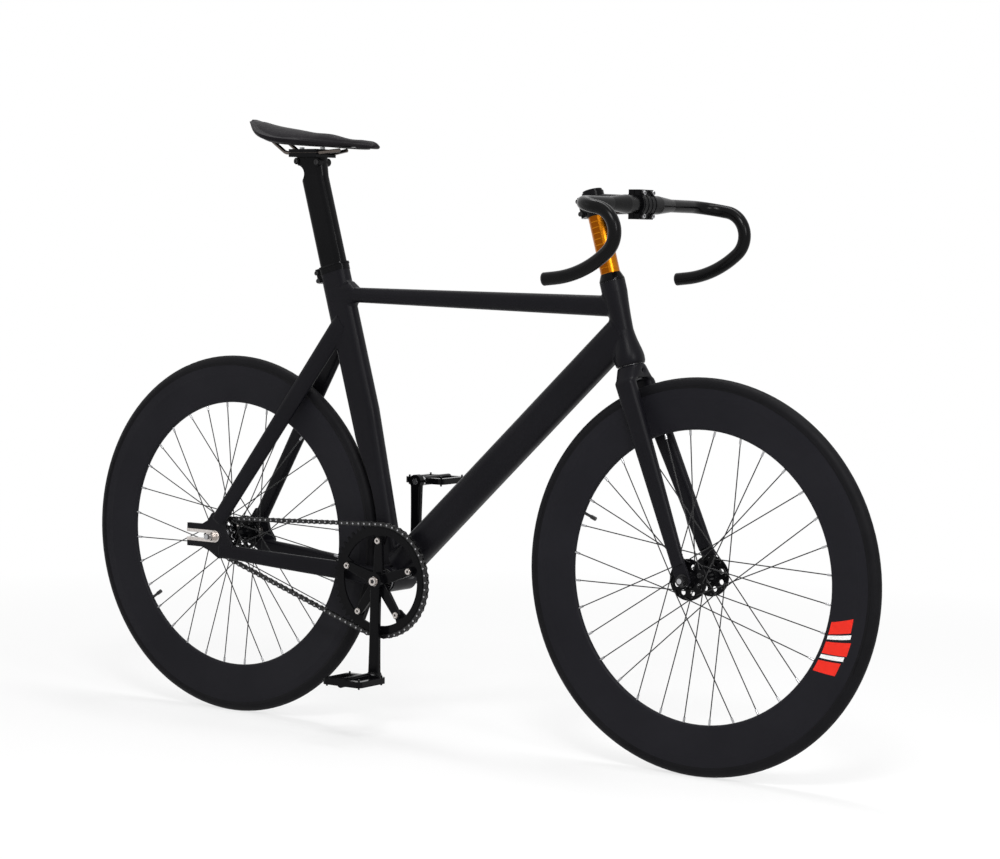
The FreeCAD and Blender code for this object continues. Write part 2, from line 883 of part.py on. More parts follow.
def make_drive_train():
    places = chain_places(sprocket_distance, bracket_drop)
    rollers = []
    for place in places[:chain_link_count]:
        rollers.append(rear_axle_place + chain_point(sprocket_distance, bracket_drop, place))
    inner, outer = link_solids()
    links = []
    for index, spot in enumerate(rollers):
        following = rollers[(index + 1) % chain_link_count]
        way = following - spot
        tilt = -math.degrees(math.atan2(way.z, way.x))
        link = (inner if index % 2 == 0 else outer).copy()
        link.Placement = FreeCAD.Placement(spot - y_way * chain_line, FreeCAD.Rotation(y_way, tilt))
        links.append(link)
    save("chain", links)

    cog_angle = roller_angle(rollers, rear_axle_place, cog_radius)
    cog = toothed_disc(cog_teeth, rear_axle_place, cog_angle)
    inner_side = -chain_line - tooth_thickness / 2
    outer_side = -chain_line + tooth_thickness / 2
    hole = y_disc(cog_thread_radius, inner_side - overrun, outer_side + overrun, rear_axle_place)
    save("sprocket", cog.cut(hole))
    lock_end = inner_side - lockring_width
    lock = y_ring(lockring_radius, cog_thread_radius, lock_end, inner_side, rear_axle_place)
    notches = []
    for index in range(lockring_notch_count):
        spot = rear_axle_place + wheel_point(lockring_radius, full_turn * index / lockring_notch_count, 0)
        notches.append(y_disc(lockring_notch_radius, lock_end - overrun, inner_side, spot))
    save("lockring", lock.cut(Part.makeCompound(notches)))
    return roller_angle(rollers, bracket_place, ring_radius)


# Crank set and pedals

def crank_arm(side, down):
    """Arm from the boss to the pedal eye; side is -1 on the right, down is -1 when it hangs."""
    eye_place = bracket_place + z_way * (crank_length * down)
    eye_inner = side * (crank_tip_offset - crank_thickness / 2)
    eye_outer = side * (crank_tip_offset + crank_thickness / 2)
    boss = y_disc(crank_boss_radius, min(side * crank_boss_inner, side * crank_boss_outer),
                  max(side * crank_boss_inner, side * crank_boss_outer), bracket_place)
    eye = y_disc(crank_eye_radius, min(eye_inner, eye_outer), max(eye_inner, eye_outer), eye_place)
    root = bracket_place + y_way * (side * crank_root_offset)
    tip = eye_place + y_way * (side * crank_tip_offset)
    middle = (root + tip) / 2
    waist = (crank_root_width + crank_tip_width) / 2 - crank_thickness * crank_waist_share
    arm = Part.makeLoft([
        rounded_wire(root, x_way, y_way, crank_root_width, crank_thickness, crank_corner_share),
        rounded_wire(middle, x_way, y_way, waist, crank_thickness, crank_corner_share),
        rounded_wire(tip, x_way, y_way, crank_tip_width, crank_thickness, crank_corner_share),
    ], True)
    axle_hole = y_disc(pedal_axle_radius, min(eye_inner, eye_outer) - overrun,
                       max(eye_inner, eye_outer) + overrun, eye_place)
    return boss.fuse(arm).fuse(eye).cut(axle_hole).cut(spindle_space())


def spindle_space():
    reach = max(spindle_half, crank_boss_outer) + overrun
    return y_disc(spindle_radius, -reach, reach, bracket_place)


def ring_bolt_places():
    places = []
    for index in range(ring_bolt_count):
        angle = quarter_turn + full_turn * index / ring_bolt_count
        places.append(bracket_place + wheel_point(ring_bolt_circle_radius, angle, 0))
    return places


def make_crank_set(first_tooth_angle):
    ring_outer = -chain_line - ring_thickness / 2
    ring_inner = -chain_line + ring_thickness / 2
    spider_outer = ring_outer - spider_thickness
    bolts = []
    for spot in ring_bolt_places():
        shank = y_disc(ring_bolt_radius, spider_outer, ring_inner, spot)
        head = y_disc(ring_bolt_head_radius, spider_outer - ring_bolt_head_height, spider_outer, spot)
        back = y_disc(ring_bolt_head_radius, ring_inner, ring_inner + ring_bolt_head_height, spot)
        bolts.append(shank.fuse(head).fuse(back).removeSplitter())
    bolt_group = Part.makeCompound(bolts)

    ring = y_ring(ring_body_radius, ring_inner_radius, ring_outer, ring_inner, bracket_place)
    teeth = toothed_disc(ring_teeth, bracket_place, first_tooth_angle)
    hollow_radius = ring_body_radius - ring_thickness
    hollow = y_disc(hollow_radius, ring_outer - overrun, ring_inner + overrun, bracket_place)
    ring = ring.fuse(teeth.cut(hollow))
    for spot in ring_bolt_places():
        out = (spot - bracket_place).normalize()
        across = out.cross(y_way)
        tab = y_disc(ring_tab_radius, ring_outer, ring_inner, spot)
        neck_end = bracket_place + out * (ring_inner_radius + ring_thickness)
        neck_half = ring_tab_radius * ring_neck_share
        corners = [spot + across * ring_tab_radius, neck_end + across * neck_half,
                   neck_end - across * neck_half, spot - across * ring_tab_radius]
        neck = Part.Face(Part.makePolygon(corners + [corners[0]])).extrude(y_way * ring_thickness)
        ring = ring.fuse(tab).fuse(neck.translated(y_way * ring_outer))
    save("chainring", ring.cut(bolt_group).removeSplitter())
    save("chainring_bolts", bolts)

    right = crank_arm(-1, -1)
    for spot in ring_bolt_places():
        out = (spot - bracket_place).normalize()
        across = out.cross(y_way)
        level = y_way * ((spider_outer + ring_outer) / 2)
        root = bracket_place + out * (crank_boss_radius * spider_root_share) + level
        tip = spot + level
        arm = Part.makeLoft([
            rounded_wire(root, across, y_way, spider_root_width, spider_thickness, spider_corner_share),
            rounded_wire(tip, across, y_way, spider_tip_width, spider_thickness, spider_corner_share),
        ], True)
        pad = y_disc(spider_tip_width / 2, spider_outer, ring_outer, spot)
        right = right.fuse(arm).fuse(pad)
    spindle = y_disc(spindle_radius, -spindle_half, spindle_half, bracket_place)
    right = right.cut(bolt_group).cut(spindle_space()).removeSplitter()
    save("crank_arm_right", right)
    save("crank_arm_left", crank_arm(1, 1).removeSplitter())
    save("crank_spindle", spindle)

    bolt_start = max(spindle_half, crank_boss_outer)
    cap = y_disc(crank_bolt_radius, bolt_start, bolt_start + crank_bolt_height, bracket_place)
    stud = y_disc(spindle_radius, spindle_half, bolt_start, bracket_place)
    save("crank_bolts", both_sides(cap.fuse(stud).removeSplitter()))


def pedal_side(side, down):
    """Open platform pedal and its axle, about the crank's pedal eye."""
    eye_place = bracket_place + z_way * (crank_length * down)
    eye_inner = crank_tip_offset - crank_thickness / 2
    eye_outer = crank_tip_offset + crank_thickness / 2
    start = eye_outer + pedal_inner_gap
    middle = start + pedal_width / 2
    base = Vector(eye_place.x, middle, eye_place.z - pedal_thickness / 2)
    outline = rounded_wire(base, x_way, y_way, pedal_length, pedal_width, pedal_corner / pedal_width)
    body = Part.Face(outline).extrude(z_way * pedal_thickness)
    window_length = pedal_length / 2 - pedal_end_bar - pedal_boss_radius
    window_width = pedal_width - 2 * pedal_side_bar
    for sign in (-1, 1):
        spot = base + x_way * (sign * (pedal_boss_radius + window_length / 2)) - z_way * overrun
        window = rounded_wire(spot, x_way, y_way, window_length, window_width, pedal_window_corner_share)
        body = body.cut(Part.Face(window).extrude(z_way * (pedal_thickness + 2 * overrun)))
    body = body.fuse(y_disc(pedal_boss_radius, start, start + pedal_width, eye_place))
    for across in (-1, 1):
        for along in (-1, 1):
            spot = Vector(eye_place.x + across * (pedal_length / 2 - pedal_pin_inset),
                          middle + along * (pedal_width / 2 - pedal_pin_inset),
                          eye_place.z - pedal_thickness / 2 - pedal_pin_height)
            pin_length = pedal_thickness + 2 * pedal_pin_height
            body = body.fuse(Part.makeCylinder(pedal_pin_radius, pin_length, spot, z_way))
    bore_end = eye_outer + pedal_axle_length + pedal_inner_gap
    body = body.cut(y_disc(pedal_axle_radius + running_fit, start - overrun, bore_end, eye_place))
    body = body.removeSplitter()
    axle = y_disc(pedal_axle_radius, eye_inner, eye_outer + pedal_axle_length, eye_place)
    axle = axle.fuse(y_disc(pedal_collar_radius, eye_outer, start - moving_gap, eye_place)).removeSplitter()
    if side < 0:
        return mirrored(body), mirrored(axle)
    return body, axle


def make_pedals():
    right_body, right_axle = pedal_side(-1, -1)
    left_body, left_axle = pedal_side(1, 1)
    save("pedal_body_right", right_body)
    save("pedal_body_left", left_body)
    save("pedal_axles", [right_axle, left_axle])


# Frame

def head_outline(radii_inset):
    waist = head_top - head_waist_drop
    return [
        Vector(head_bottom_radius - radii_inset, 0, head_bottom),
        Vector(head_bottom_radius - radii_inset, 0, head_bottom + head_bottom_length),
        Vector(head_waist_radius - radii_inset, 0, waist),
        Vector(head_top_radius - radii_inset, 0, head_top - head_top_length),
        Vector(head_top_radius - radii_inset, 0, head_top),
    ]


def head_skin(radii_inset, closed_radius):
    """Hourglass about the steering axis, drawn with arcs from the waist to each end."""
    low, low_shoulder, waist, high_shoulder, high = head_outline(radii_inset)
    lower_mid_radius = waist.x + (low_shoulder.x - waist.x) * head_waist_share
    upper_mid_radius = waist.x + (high_shoulder.x - waist.x) * head_waist_share
    lower_mid = Vector(lower_mid_radius, 0, (waist.z + low_shoulder.z) / 2)
    upper_mid = Vector(upper_mid_radius, 0, (waist.z + high_shoulder.z) / 2)
    inner_high = Vector(closed_radius, 0, high.z)
    inner_low = Vector(closed_radius, 0, low.z)
    edges = [
        Part.LineSegment(low, low_shoulder).toShape(),
        Part.Arc(low_shoulder, lower_mid, waist).toShape(),
        Part.Arc(waist, upper_mid, high_shoulder).toShape(),
        Part.LineSegment(high_shoulder, high).toShape(),
        Part.LineSegment(high, inner_high).toShape(),
        Part.LineSegment(inner_high, inner_low).toShape(),
        Part.LineSegment(inner_low, low).toShape(),
    ]
    return Part.Face(Part.Wire(edges)).revolve(origin, z_way, full_turn)


def head_tube_pair():
    """The filled head tube, for coping its neighbours, and the bored tube itself."""
    filled = head_skin(0, 0)
    bore = Part.makeCylinder(head_waist_radius - head_wall, head_tube_length + 2 * overrun,
                             Vector(0, 0, head_bottom - overrun))
    tube_shape = filled.cut(bore)
    for start in (head_bottom - overrun, head_top - headset_bearing_height):
        depth = headset_bearing_height + overrun
        seat = Part.makeCylinder(headset_bearing_radius, depth, Vector(0, 0, start))
        tube_shape = tube_shape.cut(seat)
    return on_steering(filled), on_steering(tube_shape)


def headset_rings():
    rings = []
    for start in (head_bottom, head_top - headset_bearing_height):
        ring = Part.makeCylinder(headset_bearing_radius, headset_bearing_height, Vector(0, 0, start))
        hole = Part.makeCylinder(steerer_radius + running_fit, headset_bearing_height + 2 * overrun,
                                 Vector(0, 0, start - overrun))
        rings.append(on_steering(ring.cut(hole)))
    return rings


def seat_sections(extra, low, high):
    """Aero section along the seat axis, grown by extra on every side."""
    chord = post_chord + 2 * extra
    thickness = post_thickness + 2 * extra
    return [(seating(level), seat_ahead, y_way, chord, thickness) for level in (low, high)]


def wheel_cut(gap):
    radius = tyre_outer_radius + gap
    return y_disc(radius, -shell_half - overrun, shell_half + overrun, rear_axle_place)


def seat_foot_sections(extra):
    """The lower run, whose front edge draws back toward the bottom bracket."""
    chord = post_chord + 2 * extra
    thickness = post_thickness + 2 * extra
    foot = seating(0, -seat_tube_taper / 2)
    return [(foot, seat_ahead, y_way, chord - seat_tube_taper, thickness),
            (seating(seat_tube_taper_height), seat_ahead, y_way, chord, thickness)]


def seat_tube_pair():
    """The filled outside of the seat tube and the space inside it."""
    skin = sliding_fit + seat_tube_wall
    shoulder = seat_tube_length - collar_height
    filled = solid_tube(seat_sections(skin, seat_tube_taper_height, shoulder))
    filled = filled.fuse(solid_tube(seat_foot_sections(skin)))
    neck_skin = sliding_fit + seat_tube_neck_wall
    filled = filled.fuse(solid_tube(seat_sections(neck_skin, shoulder, seat_tube_length)))
    filled = filled.cut(wheel_cut(wheel_cut_gap))
    hollow = solid_tube(seat_sections(sliding_fit, seat_tube_taper_height, seat_tube_length + overrun))
    hollow = hollow.fuse(solid_tube(seat_foot_sections(sliding_fit)))
    hollow = hollow.cut(wheel_cut(wheel_cut_gap + seat_tube_wall))
    return filled, hollow


def down_tube_sections():
    low = bracket_place + z_way * down_tube_rise
    high = steering(head_bottom + down_tube_front_rise)
    way = (high - low).normalize()
    across = Vector(-way.z, 0, way.x)
    low = low + way * down_tube_setback
    return [(low, across, y_way, down_tube_depth, down_tube_rear_width),
            (high, across, y_way, down_tube_depth, down_tube_front_width)]


def top_tube_sections():
    rear = seating(seat_tube_length - top_tube_rear_drop)
    front = steering(head_top - top_tube_front_drop)
    way = (front - rear).normalize()
    across = Vector(-way.z, 0, way.x)
    root = rear + way * (post_chord / 2)
    flared = top_tube_rear_height + 2 * top_tube_flare
    return [(rear, across, y_way, flared, top_tube_width),
            (root, across, y_way, flared, top_tube_width),
            (root + way * top_tube_flare_length, across, y_way, top_tube_rear_height, top_tube_width),
            (front, across, y_way, top_tube_front_height, top_tube_width)]


def dropout_middle():
    return rear_dropout_gap_half + dropout_thickness / 2


def chainstay_sections():
    sections = []
    last_share = chainstay_station_shares[-1]
    end_rise = bracket_drop - chainstay_end_drop
    for share, spread in zip(chainstay_station_shares, chainstay_spread_shares):
        along = share / last_share
        centre = bracket_place + Vector(-stay_run * share, dropout_middle() * spread, end_rise * along)
        deep = chainstay_root_height + (chainstay_tip_height - chainstay_root_height) * along
        wide = chainstay_root_width + (chainstay_tip_width - chainstay_root_width) * along
        sections.append((centre, z_way, y_way, deep, wide))
    return sections


def seatstay_sections():
    top = seating(seat_tube_length - seatstay_drop, 0, seatstay_top_offset)
    end = rear_axle_place + Vector(seatstay_end_lead, dropout_middle(), seatstay_end_rise)
    way = (top - end).normalize()
    across = Vector(way.z, 0, -way.x).normalize()
    return [(end, across, y_way, seatstay_depth, seatstay_width),
            (top, across, y_way, seatstay_depth, seatstay_width)]


def dropout_plate():
    """Left fork end: a plate with a rearward slot, wide enough for its liner."""
    points = []
    for along, up in dropout_top_shares + dropout_low_shares:
        points.append(rear_axle_place + Vector(along * dropout_prong_length, rear_dropout_gap_half,
                                               up * dropout_half_height))
    plate = Part.Face(Part.makePolygon(points + [points[0]])).extrude(y_way * dropout_thickness)
    upright = []
    for edge in plate.Edges:
        if abs(edge.Vertexes[0].Point.y - edge.Vertexes[1].Point.y) > dropout_thickness / 2:
            if edge.Vertexes[0].Point.x > rear_axle_place.x - dropout_prong_length + overrun:
                upright.append(edge)
    return plate.makeFillet(dropout_corner, upright)


def slot_solid(half_height, lead, low, high, rear):
    """Slot shape: a straight run from the open rear to a round front end."""
    front = rear_axle_place.x + lead
    run = block(Vector(rear_axle_place.x - rear, low, rear_axle_place.z - half_height),
                Vector(front, high, rear_axle_place.z + half_height))
    return run.fuse(y_disc(half_height, low, high, Vector(front, 0, rear_axle_place.z))).removeSplitter()


def dropout_parts():
    low = rear_dropout_gap_half
    high = low + dropout_thickness
    slot_half = rear_axle_radius + sliding_fit
    liner_half = slot_half + insert_wall
    past_end = dropout_prong_length + overrun
    liner_space = slot_solid(liner_half, slot_lead, low - overrun, high + overrun, past_end)
    plate = dropout_plate().cut(liner_space)
    liner = slot_solid(liner_half, slot_lead, low, high + insert_proud, dropout_prong_length)
    liner = liner.cut(slot_solid(slot_half, 0, low - overrun, high + 2 * overrun, past_end))
    return plate, liner


def make_frame():
    head_filled, head_tube = head_tube_pair()
    seat_filled, seat_hollow = seat_tube_pair()
    shell_filled = y_disc(shell_radius, -shell_half, shell_half, bracket_place)
    down_filled = solid_tube(down_tube_sections(), True)
    top_filled = solid_tube(top_tube_sections(), True)
    plate, liner = dropout_parts()

    shell_bore = shell_radius - shell_wall
    save("head_tube", head_tube)
    save("headset_bearings", headset_rings())
    save("bottom_bracket_shell", y_ring(shell_radius, shell_bore, -shell_half, shell_half, bracket_place))
    down = tube(down_tube_sections(), tube_wall, True, tube_cap)
    down = down.cut(head_filled).cut(shell_filled).cut(top_filled)
    save("down_tube", largest(down))
    seat = seat_filled.cut(seat_hollow).cut(shell_filled).cut(down_filled)
    save("seat_tube", largest(seat))
    seat_body = seat_filled.fuse(seat_hollow)
    top = tube(top_tube_sections(), tube_wall, True).cut(head_filled).cut(seat_body)
    save("top_tube", largest(top))

    chainstay = tube(chainstay_sections()[::-1], tube_wall, cap=tube_cap)
    chainstay = largest(chainstay.cut(shell_filled).cut(seat_body).cut(down_filled).cut(plate).cut(liner))
    save("chainstays", both_sides(chainstay))
    seatstay = tube(seatstay_sections(), tube_wall, True, tube_cap)
    seatstay = largest(seatstay.cut(seat_body).cut(plate).cut(liner).cut(mirrored_half()))
    save("seatstays", both_sides(seatstay))
    save("dropouts", both_sides(plate))
    save("dropout_liners", both_sides(liner))

    cup_bore = spindle_radius + running_fit
    flange = y_ring(cup_flange_radius, cup_bore, shell_half, shell_half + cup_flange_width, bracket_place)
    barrel = y_ring(shell_bore, cup_bore, shell_half - cup_depth, shell_half, bracket_place)
    save("bottom_bracket_cups", both_sides(flange.fuse(barrel).removeSplitter()))
    make_seat_collar()


def mirrored_half():
    """Everything on the right of the centre plane."""
    reach = wheelbase
    return block(Vector(-reach, -reach, 0), Vector(reach, 0, 2 * reach))


def largest(shape):
    return max(shape.Solids, key=lambda solid: solid.Volume)


def make_seat_collar():
    """Band round the tube's thin neck, with a slit lug and two bolts behind."""
    skin = sliding_fit + seat_tube_neck_wall
    low = seat_tube_length - collar_height
    back = -(post_chord / 2 + skin + collar_wall)
    lug_low = low - collar_lug_drop
    lug_front = back + collar_wall
    lug_back = back - collar_lug_length
    band = solid_tube(seat_sections(skin + collar_wall, low, seat_tube_length))
    lug_centre = seating(lug_low, (lug_front + lug_back) / 2)
    lug_run = lug_front - lug_back
    lug_outline = rounded_wire(lug_centre, seat_ahead, y_way, lug_run, collar_lug_width, lug_corner_share)
    lug = Part.Face(lug_outline)
    band = band.fuse(lug.extrude(seat_up * (seat_tube_length - lug_low)))
    band = band.cut(solid_tube(seat_sections(skin, low - overrun, seat_tube_length + overrun)))
    band = band.cut(solid_tube(seat_sections(sliding_fit + seat_tube_wall, lug_low - overrun, low)))
    slit_front = back + 2 * collar_wall
    slit_centre = seating(lug_low - overrun, (slit_front + lug_back - overrun) / 2)
    slit_run = slit_front - lug_back + overrun
    slit = Part.Face(rounded_wire(slit_centre, seat_ahead, y_way, slit_run, collar_slit, slit_corner_share))
    band = band.cut(slit.extrude(seat_up * (seat_tube_length - lug_low + 2 * overrun)))
    half = collar_lug_width / 2
    bolts = []
    for level in (lug_low + collar_bolt_head_radius, seat_tube_length - collar_height / 2):
        spot = seating(level, lug_back + collar_lug_length / 2)
        shank = y_disc(collar_bolt_radius, -half, half, spot)
        head = y_disc(collar_bolt_head_radius, -half - collar_bolt_head_height, -half, spot)
        bolts.append(shank.fuse(head).removeSplitter())
    save("seat_collar", largest(band.cut(Part.makeCompound(bolts))))
    save("seat_collar_bolts", bolts)


# Fork, steering column, stem and bar

def fork_blade_sections():
    tip_way = (steering(crown_height - crown_drop) - front_axle_place).normalize()
    top = steering(crown_height - crown_drop, 0, blade_top_offset) + tip_way * crown_drop
    end = front_axle_place + tip_way * blade_tip_rise + y_way * blade_tip_offset
    across = Vector(tip_way.z, 0, -tip_way.x)
    return [(top, across, y_way, blade_top_depth, blade_top_width),
            (end, across, y_way, blade_tip_depth, blade_tip_width)], tip_way


def fork_blade():
    """Left blade with the slotted plate that holds the axle."""
    sections, tip_way = fork_blade_sections()
    blade = solid_tube(sections)
    low = front_dropout_gap_half
    high = low + fork_end_thickness
    plate = y_disc(fork_end_radius, low, high, front_axle_place)
    across = sections[1][1]
    far = front_axle_place + tip_way * (blade_tip_rise + fork_end_radius)
    corners = [front_axle_place + across * fork_end_radius, far + across * (blade_tip_depth / 2),
               far - across * (blade_tip_depth / 2), front_axle_place - across * fork_end_radius]
    neck = Part.Face(Part.makePolygon(corners + [corners[0]])).extrude(y_way * (high - low))
    blade = blade.fuse(plate).fuse(neck.translated(y_way * low))
    hub_side = y_disc(front_flange_radius + fork_end_radius, 0, low, front_axle_place)
    slot_half = front_axle_radius + sliding_fit
    slot_end = front_axle_place - tip_way * (fork_end_radius + overrun)
    corners = [front_axle_place + across * slot_half, slot_end + across * slot_half,
               slot_end - across * slot_half, front_axle_place - across * slot_half]
    slot = Part.Face(Part.makePolygon(corners + [corners[0]])).extrude(y_way * (high - low + 2 * overrun))
    slot = slot.translated(y_way * (low - overrun))
    hole = y_disc(slot_half, low - overrun, high + overrun, front_axle_place)
    reach = crown_lower_width
    above = block(Vector(-reach, -reach, crown_height - crown_drop),
                  Vector(reach, reach, crown_height + reach))
    return blade.cut(hub_side).cut(slot).cut(hole).cut(on_steering(above)).removeSplitter()


def fork_crown():
    """Crown that grows from the round race seat to a block over both blades."""
    top = steering(crown_height)
    low = steering(crown_height - crown_drop)
    race = 2 * crown_top_radius
    crown = Part.makeLoft([
        rounded_wire(top, steer_ahead, y_way, race, race, race_corner_share),
        rounded_wire(low, steer_ahead, y_way, crown_lower_depth, crown_lower_width, crown_corner_share),
    ], True)
    hole_start = steering(crown_height - brake_hole_drop, -race)
    hole = Part.makeCylinder(brake_hole_radius, 2 * race, hole_start, steer_ahead)
    steerer = Part.makeCylinder(steerer_radius, crown_drop + overrun, low, steer_up)
    return crown.cut(hole).cut(steerer)


def steerer_tube():
    low = steering(crown_height - crown_drop)
    length = stem_top - crown_height + crown_drop
    tube_shape = Part.makeCylinder(steerer_radius, length, low, steer_up)
    bore_radius = steerer_radius - steerer_wall
    bore = Part.makeCylinder(bore_radius, length + 2 * overrun, low - steer_up * overrun, steer_up)
    race = 2 * crown_top_radius
    hole_start = steering(crown_height - brake_hole_drop, -race)
    hole = Part.makeCylinder(brake_hole_radius, 2 * race, hole_start, steer_ahead)
    return tube_shape.cut(bore).cut(hole)


def headset_cover():
    points = [
        Vector(steerer_radius, 0, cover_bottom),
        Vector(cover_base_radius, 0, cover_bottom),
        Vector(cover_base_radius, 0, cover_bottom + cover_lip),
        Vector(cover_top_radius, 0, column_bottom),
        Vector(steerer_radius, 0, column_bottom),
    ]
    return on_steering(spun(points, z_way))


def riser_column():
    """Tall spacer with a ladder of shallow pockets down each side."""
    column = Part.makeCylinder(column_radius, column_length, Vector(0, 0, column_bottom))
    bore_start = Vector(0, 0, column_bottom - overrun)
    bore = Part.makeCylinder(steerer_radius, column_length + 2 * overrun, bore_start)
    column = column.cut(bore)
    pitch = column_length / column_pocket_count
    floor_side = column_radius - column_pocket_depth
    pockets = []
    for index in range(column_pocket_count):
        low = column_bottom + pitch * index + column_rib / 2
        pocket = block(Vector(-column_pocket_width / 2, floor_side, low),
                       Vector(column_pocket_width / 2, column_radius + overrun, low + pitch - column_rib))
        pockets.extend(both_sides(pocket))
    return on_steering(column.cut(Part.makeCompound(pockets)))


def bar_centre():
    root = steering((column_top + stem_top) / 2)
    return root + x_way * stem_length - z_way * stem_drop


def bar_clamp_half(forward):
    """Half of the bar clamp with its upper and lower bolt ears."""
    centre = bar_centre()
    outer = bar_clamp_radius + bar_clamp_wall
    half = bar_clamp_width / 2
    ring = y_disc(outer, -half, half, centre)
    reach = outer + bar_ear_height / 2
    ears = block(Vector(centre.x - bar_ear_depth, -half, centre.z - reach),
                 Vector(centre.x + bar_ear_depth, half, centre.z + reach))
    clamp = ring.fuse(ears).cut(y_disc(bar_clamp_radius, -half - overrun, half + overrun, centre))
    split = bar_clamp_gap / 2
    space = outer + bar_ear_depth + overrun
    if forward:
        keep = block(Vector(centre.x + split, -half - overrun, centre.z - 2 * space),
                     Vector(centre.x + space, half + overrun, centre.z + 2 * space))
    else:
        keep = block(Vector(centre.x - space, -half - overrun, centre.z - 2 * space),
                     Vector(centre.x - split, half + overrun, centre.z + 2 * space))
    return clamp.common(keep).removeSplitter()


def bar_bolts():
    centre = bar_centre()
    level = bar_clamp_radius + bar_bolt_radius + bar_wall / 2
    bolts = []
    for up in (-1, 1):
        for side in (-1, 1):
            spot = centre + z_way * (up * level) + y_way * (side * bar_bolt_spacing / 2)
            start = spot - x_way * bar_ear_depth
            shank = Part.makeCylinder(bar_bolt_radius, 2 * bar_ear_depth, start, x_way)
            head_start = spot + x_way * bar_ear_depth
            head = Part.makeCylinder(bar_bolt_head_radius, bar_bolt_head_height, head_start, x_way)
            bolts.append(shank.fuse(head).removeSplitter())
    return bolts


def pinch_bolts():
    back = -(stem_clamp_radius + stem_lug_length / 2)
    half = stem_lug_width / 2
    bolts = []
    for level in (column_top + pinch_bolt_inset, stem_top - pinch_bolt_inset):
        spot = steering(level, back)
        shank = y_disc(bar_bolt_radius, -half, half, spot)
        head = y_disc(bar_bolt_head_radius, -half - bar_bolt_head_height, -half, spot)
        bolts.append(shank.fuse(head).removeSplitter())
    return bolts


def stem_body(bolts):
    centre = bar_centre()
    root = steering((column_top + stem_top) / 2)
    clamp = Part.makeCylinder(stem_clamp_radius, stem_clamp_height, steering(column_top), steer_up)
    front = centre - x_way * (bar_clamp_radius + bar_clamp_wall / 2)
    body = Part.makeLoft([
        rounded_wire(root, z_way, y_way, stem_rear_height, stem_rear_width),
        rounded_wire(front, z_way, y_way, stem_front_height, stem_front_width),
    ], True)
    lug_back = -(stem_clamp_radius + stem_lug_length)
    lug_low = steering((column_top + stem_top - stem_lug_height) / 2, lug_back / 2)
    lug = Part.Face(rounded_wire(lug_low, steer_ahead, y_way, -lug_back, stem_lug_width, lug_corner_share))
    stem = clamp.fuse(body).fuse(lug.extrude(steer_up * stem_lug_height)).fuse(bar_clamp_half(False))
    slit = Part.Face(rounded_wire(steering(column_top - overrun, lug_back / 2 - overrun), steer_ahead, y_way,
                                  -lug_back, collar_slit, slit_corner_share))
    stem = stem.cut(slit.extrude(steer_up * (stem_clamp_height + 2 * overrun)))
    bore = Part.makeCylinder(steerer_radius, stem_clamp_height + 2 * overrun,
                             steering(column_top - overrun), steer_up)
    bar_space = y_disc(bar_clamp_radius, -bar_clamp_width, bar_clamp_width, centre)
    below = Part.makeCylinder(stem_clamp_radius, column_length, steering(column_bottom), steer_up)
    stem = stem.cut(bore).cut(bar_space).cut(below).cut(Part.makeCompound(bolts))
    return largest(stem.removeSplitter())


def bar_path(offset):
    """Left half of the bar's centre line, with the last point and heading."""
    start = bar_centre()
    shoulder = start + y_way * bar_straight_half
    slope = math.radians(bar_hook_slope)
    ahead = Vector(math.cos(slope), 0, -math.sin(slope))
    down = Vector(-math.sin(slope), 0, -math.cos(slope))
    edges = [Part.LineSegment(start + y_way * offset, shoulder).toShape()]
    bend, point, heading, _ = turn(shoulder, y_way, ahead, bar_bend_radius, quarter_turn)
    edges.append(bend)
    hook, point, heading, toward = turn(point, ahead, down, bar_hook_radius, bar_hook_turn)
    edges.append(hook)
    tail, point, heading, toward = turn(point, heading, toward, bar_tail_radius, bar_tail_turn)
    edges.append(tail)
    edges.append(Part.LineSegment(point, point + heading * bar_tail_length).toShape())
    return Part.Wire(edges), point + heading * bar_tail_length, heading


def handlebar_and_plugs():
    """Drop bar with a thick clamp zone, and a plug in each open end."""
    path, tip, heading = bar_path(bar_bulge_half / 2)
    outer = swept(path, bar_radius)
    inner = swept(path, bar_radius - bar_wall)
    half = outer.cut(inner)
    centre = bar_centre()
    bulge = [
        Vector(0, 0, 0),
        Vector(bar_clamp_radius, 0, 0),
        Vector(bar_clamp_radius, bar_bulge_half, 0),
        Vector(bar_radius, bar_bulge_half + bar_taper_length, 0),
        Vector(0, bar_bulge_half + bar_taper_length, 0),
    ]
    sleeve = spun(bulge, y_way).translated(centre)
    hollow = y_disc(bar_radius - bar_wall, -overrun, bar_bulge_half + bar_taper_length + overrun, centre)
    half = half.fuse(sleeve.cut(hollow))
    bar = half.fuse(mirrored(half)).removeSplitter()
    plug = Part.makeCylinder(bar_radius - bar_wall, plug_length, tip, heading * -1)
    cap = Part.makeCylinder(bar_radius, plug_cap, tip, heading)
    plug = plug.fuse(cap).removeSplitter()
    return bar, both_sides(plug)


def top_cap():
    cap = Part.makeCylinder(cap_radius, cap_height, steering(stem_top), steer_up)
    return cap.makeFillet(cap_height * cap_edge_share, [cap.Edges[0]])


def make_fork():
    blade = fork_blade()
    save("fork_crown", fork_crown())
    save("fork_blades", both_sides(blade))
    save("steerer_tube", steerer_tube())
    save("headset_cover", headset_cover())
    save("riser_column", riser_column())
    bolts = bar_bolts() + pinch_bolts()
    save("stem", stem_body(bolts))
    save("stem_faceplate", bar_clamp_half(True).cut(Part.makeCompound(bolts)))
    save("stem_bolts", bolts)
    bar, plugs = handlebar_and_plugs()
    save("handlebar", bar)
    save("bar_end_plugs", plugs)
    save("top_cap", top_cap())


# Seatpost and saddle

clamp_place = seating(seat_tube_length + post_exposed) + Vector(-clamp_setback, 0, rail_rise)


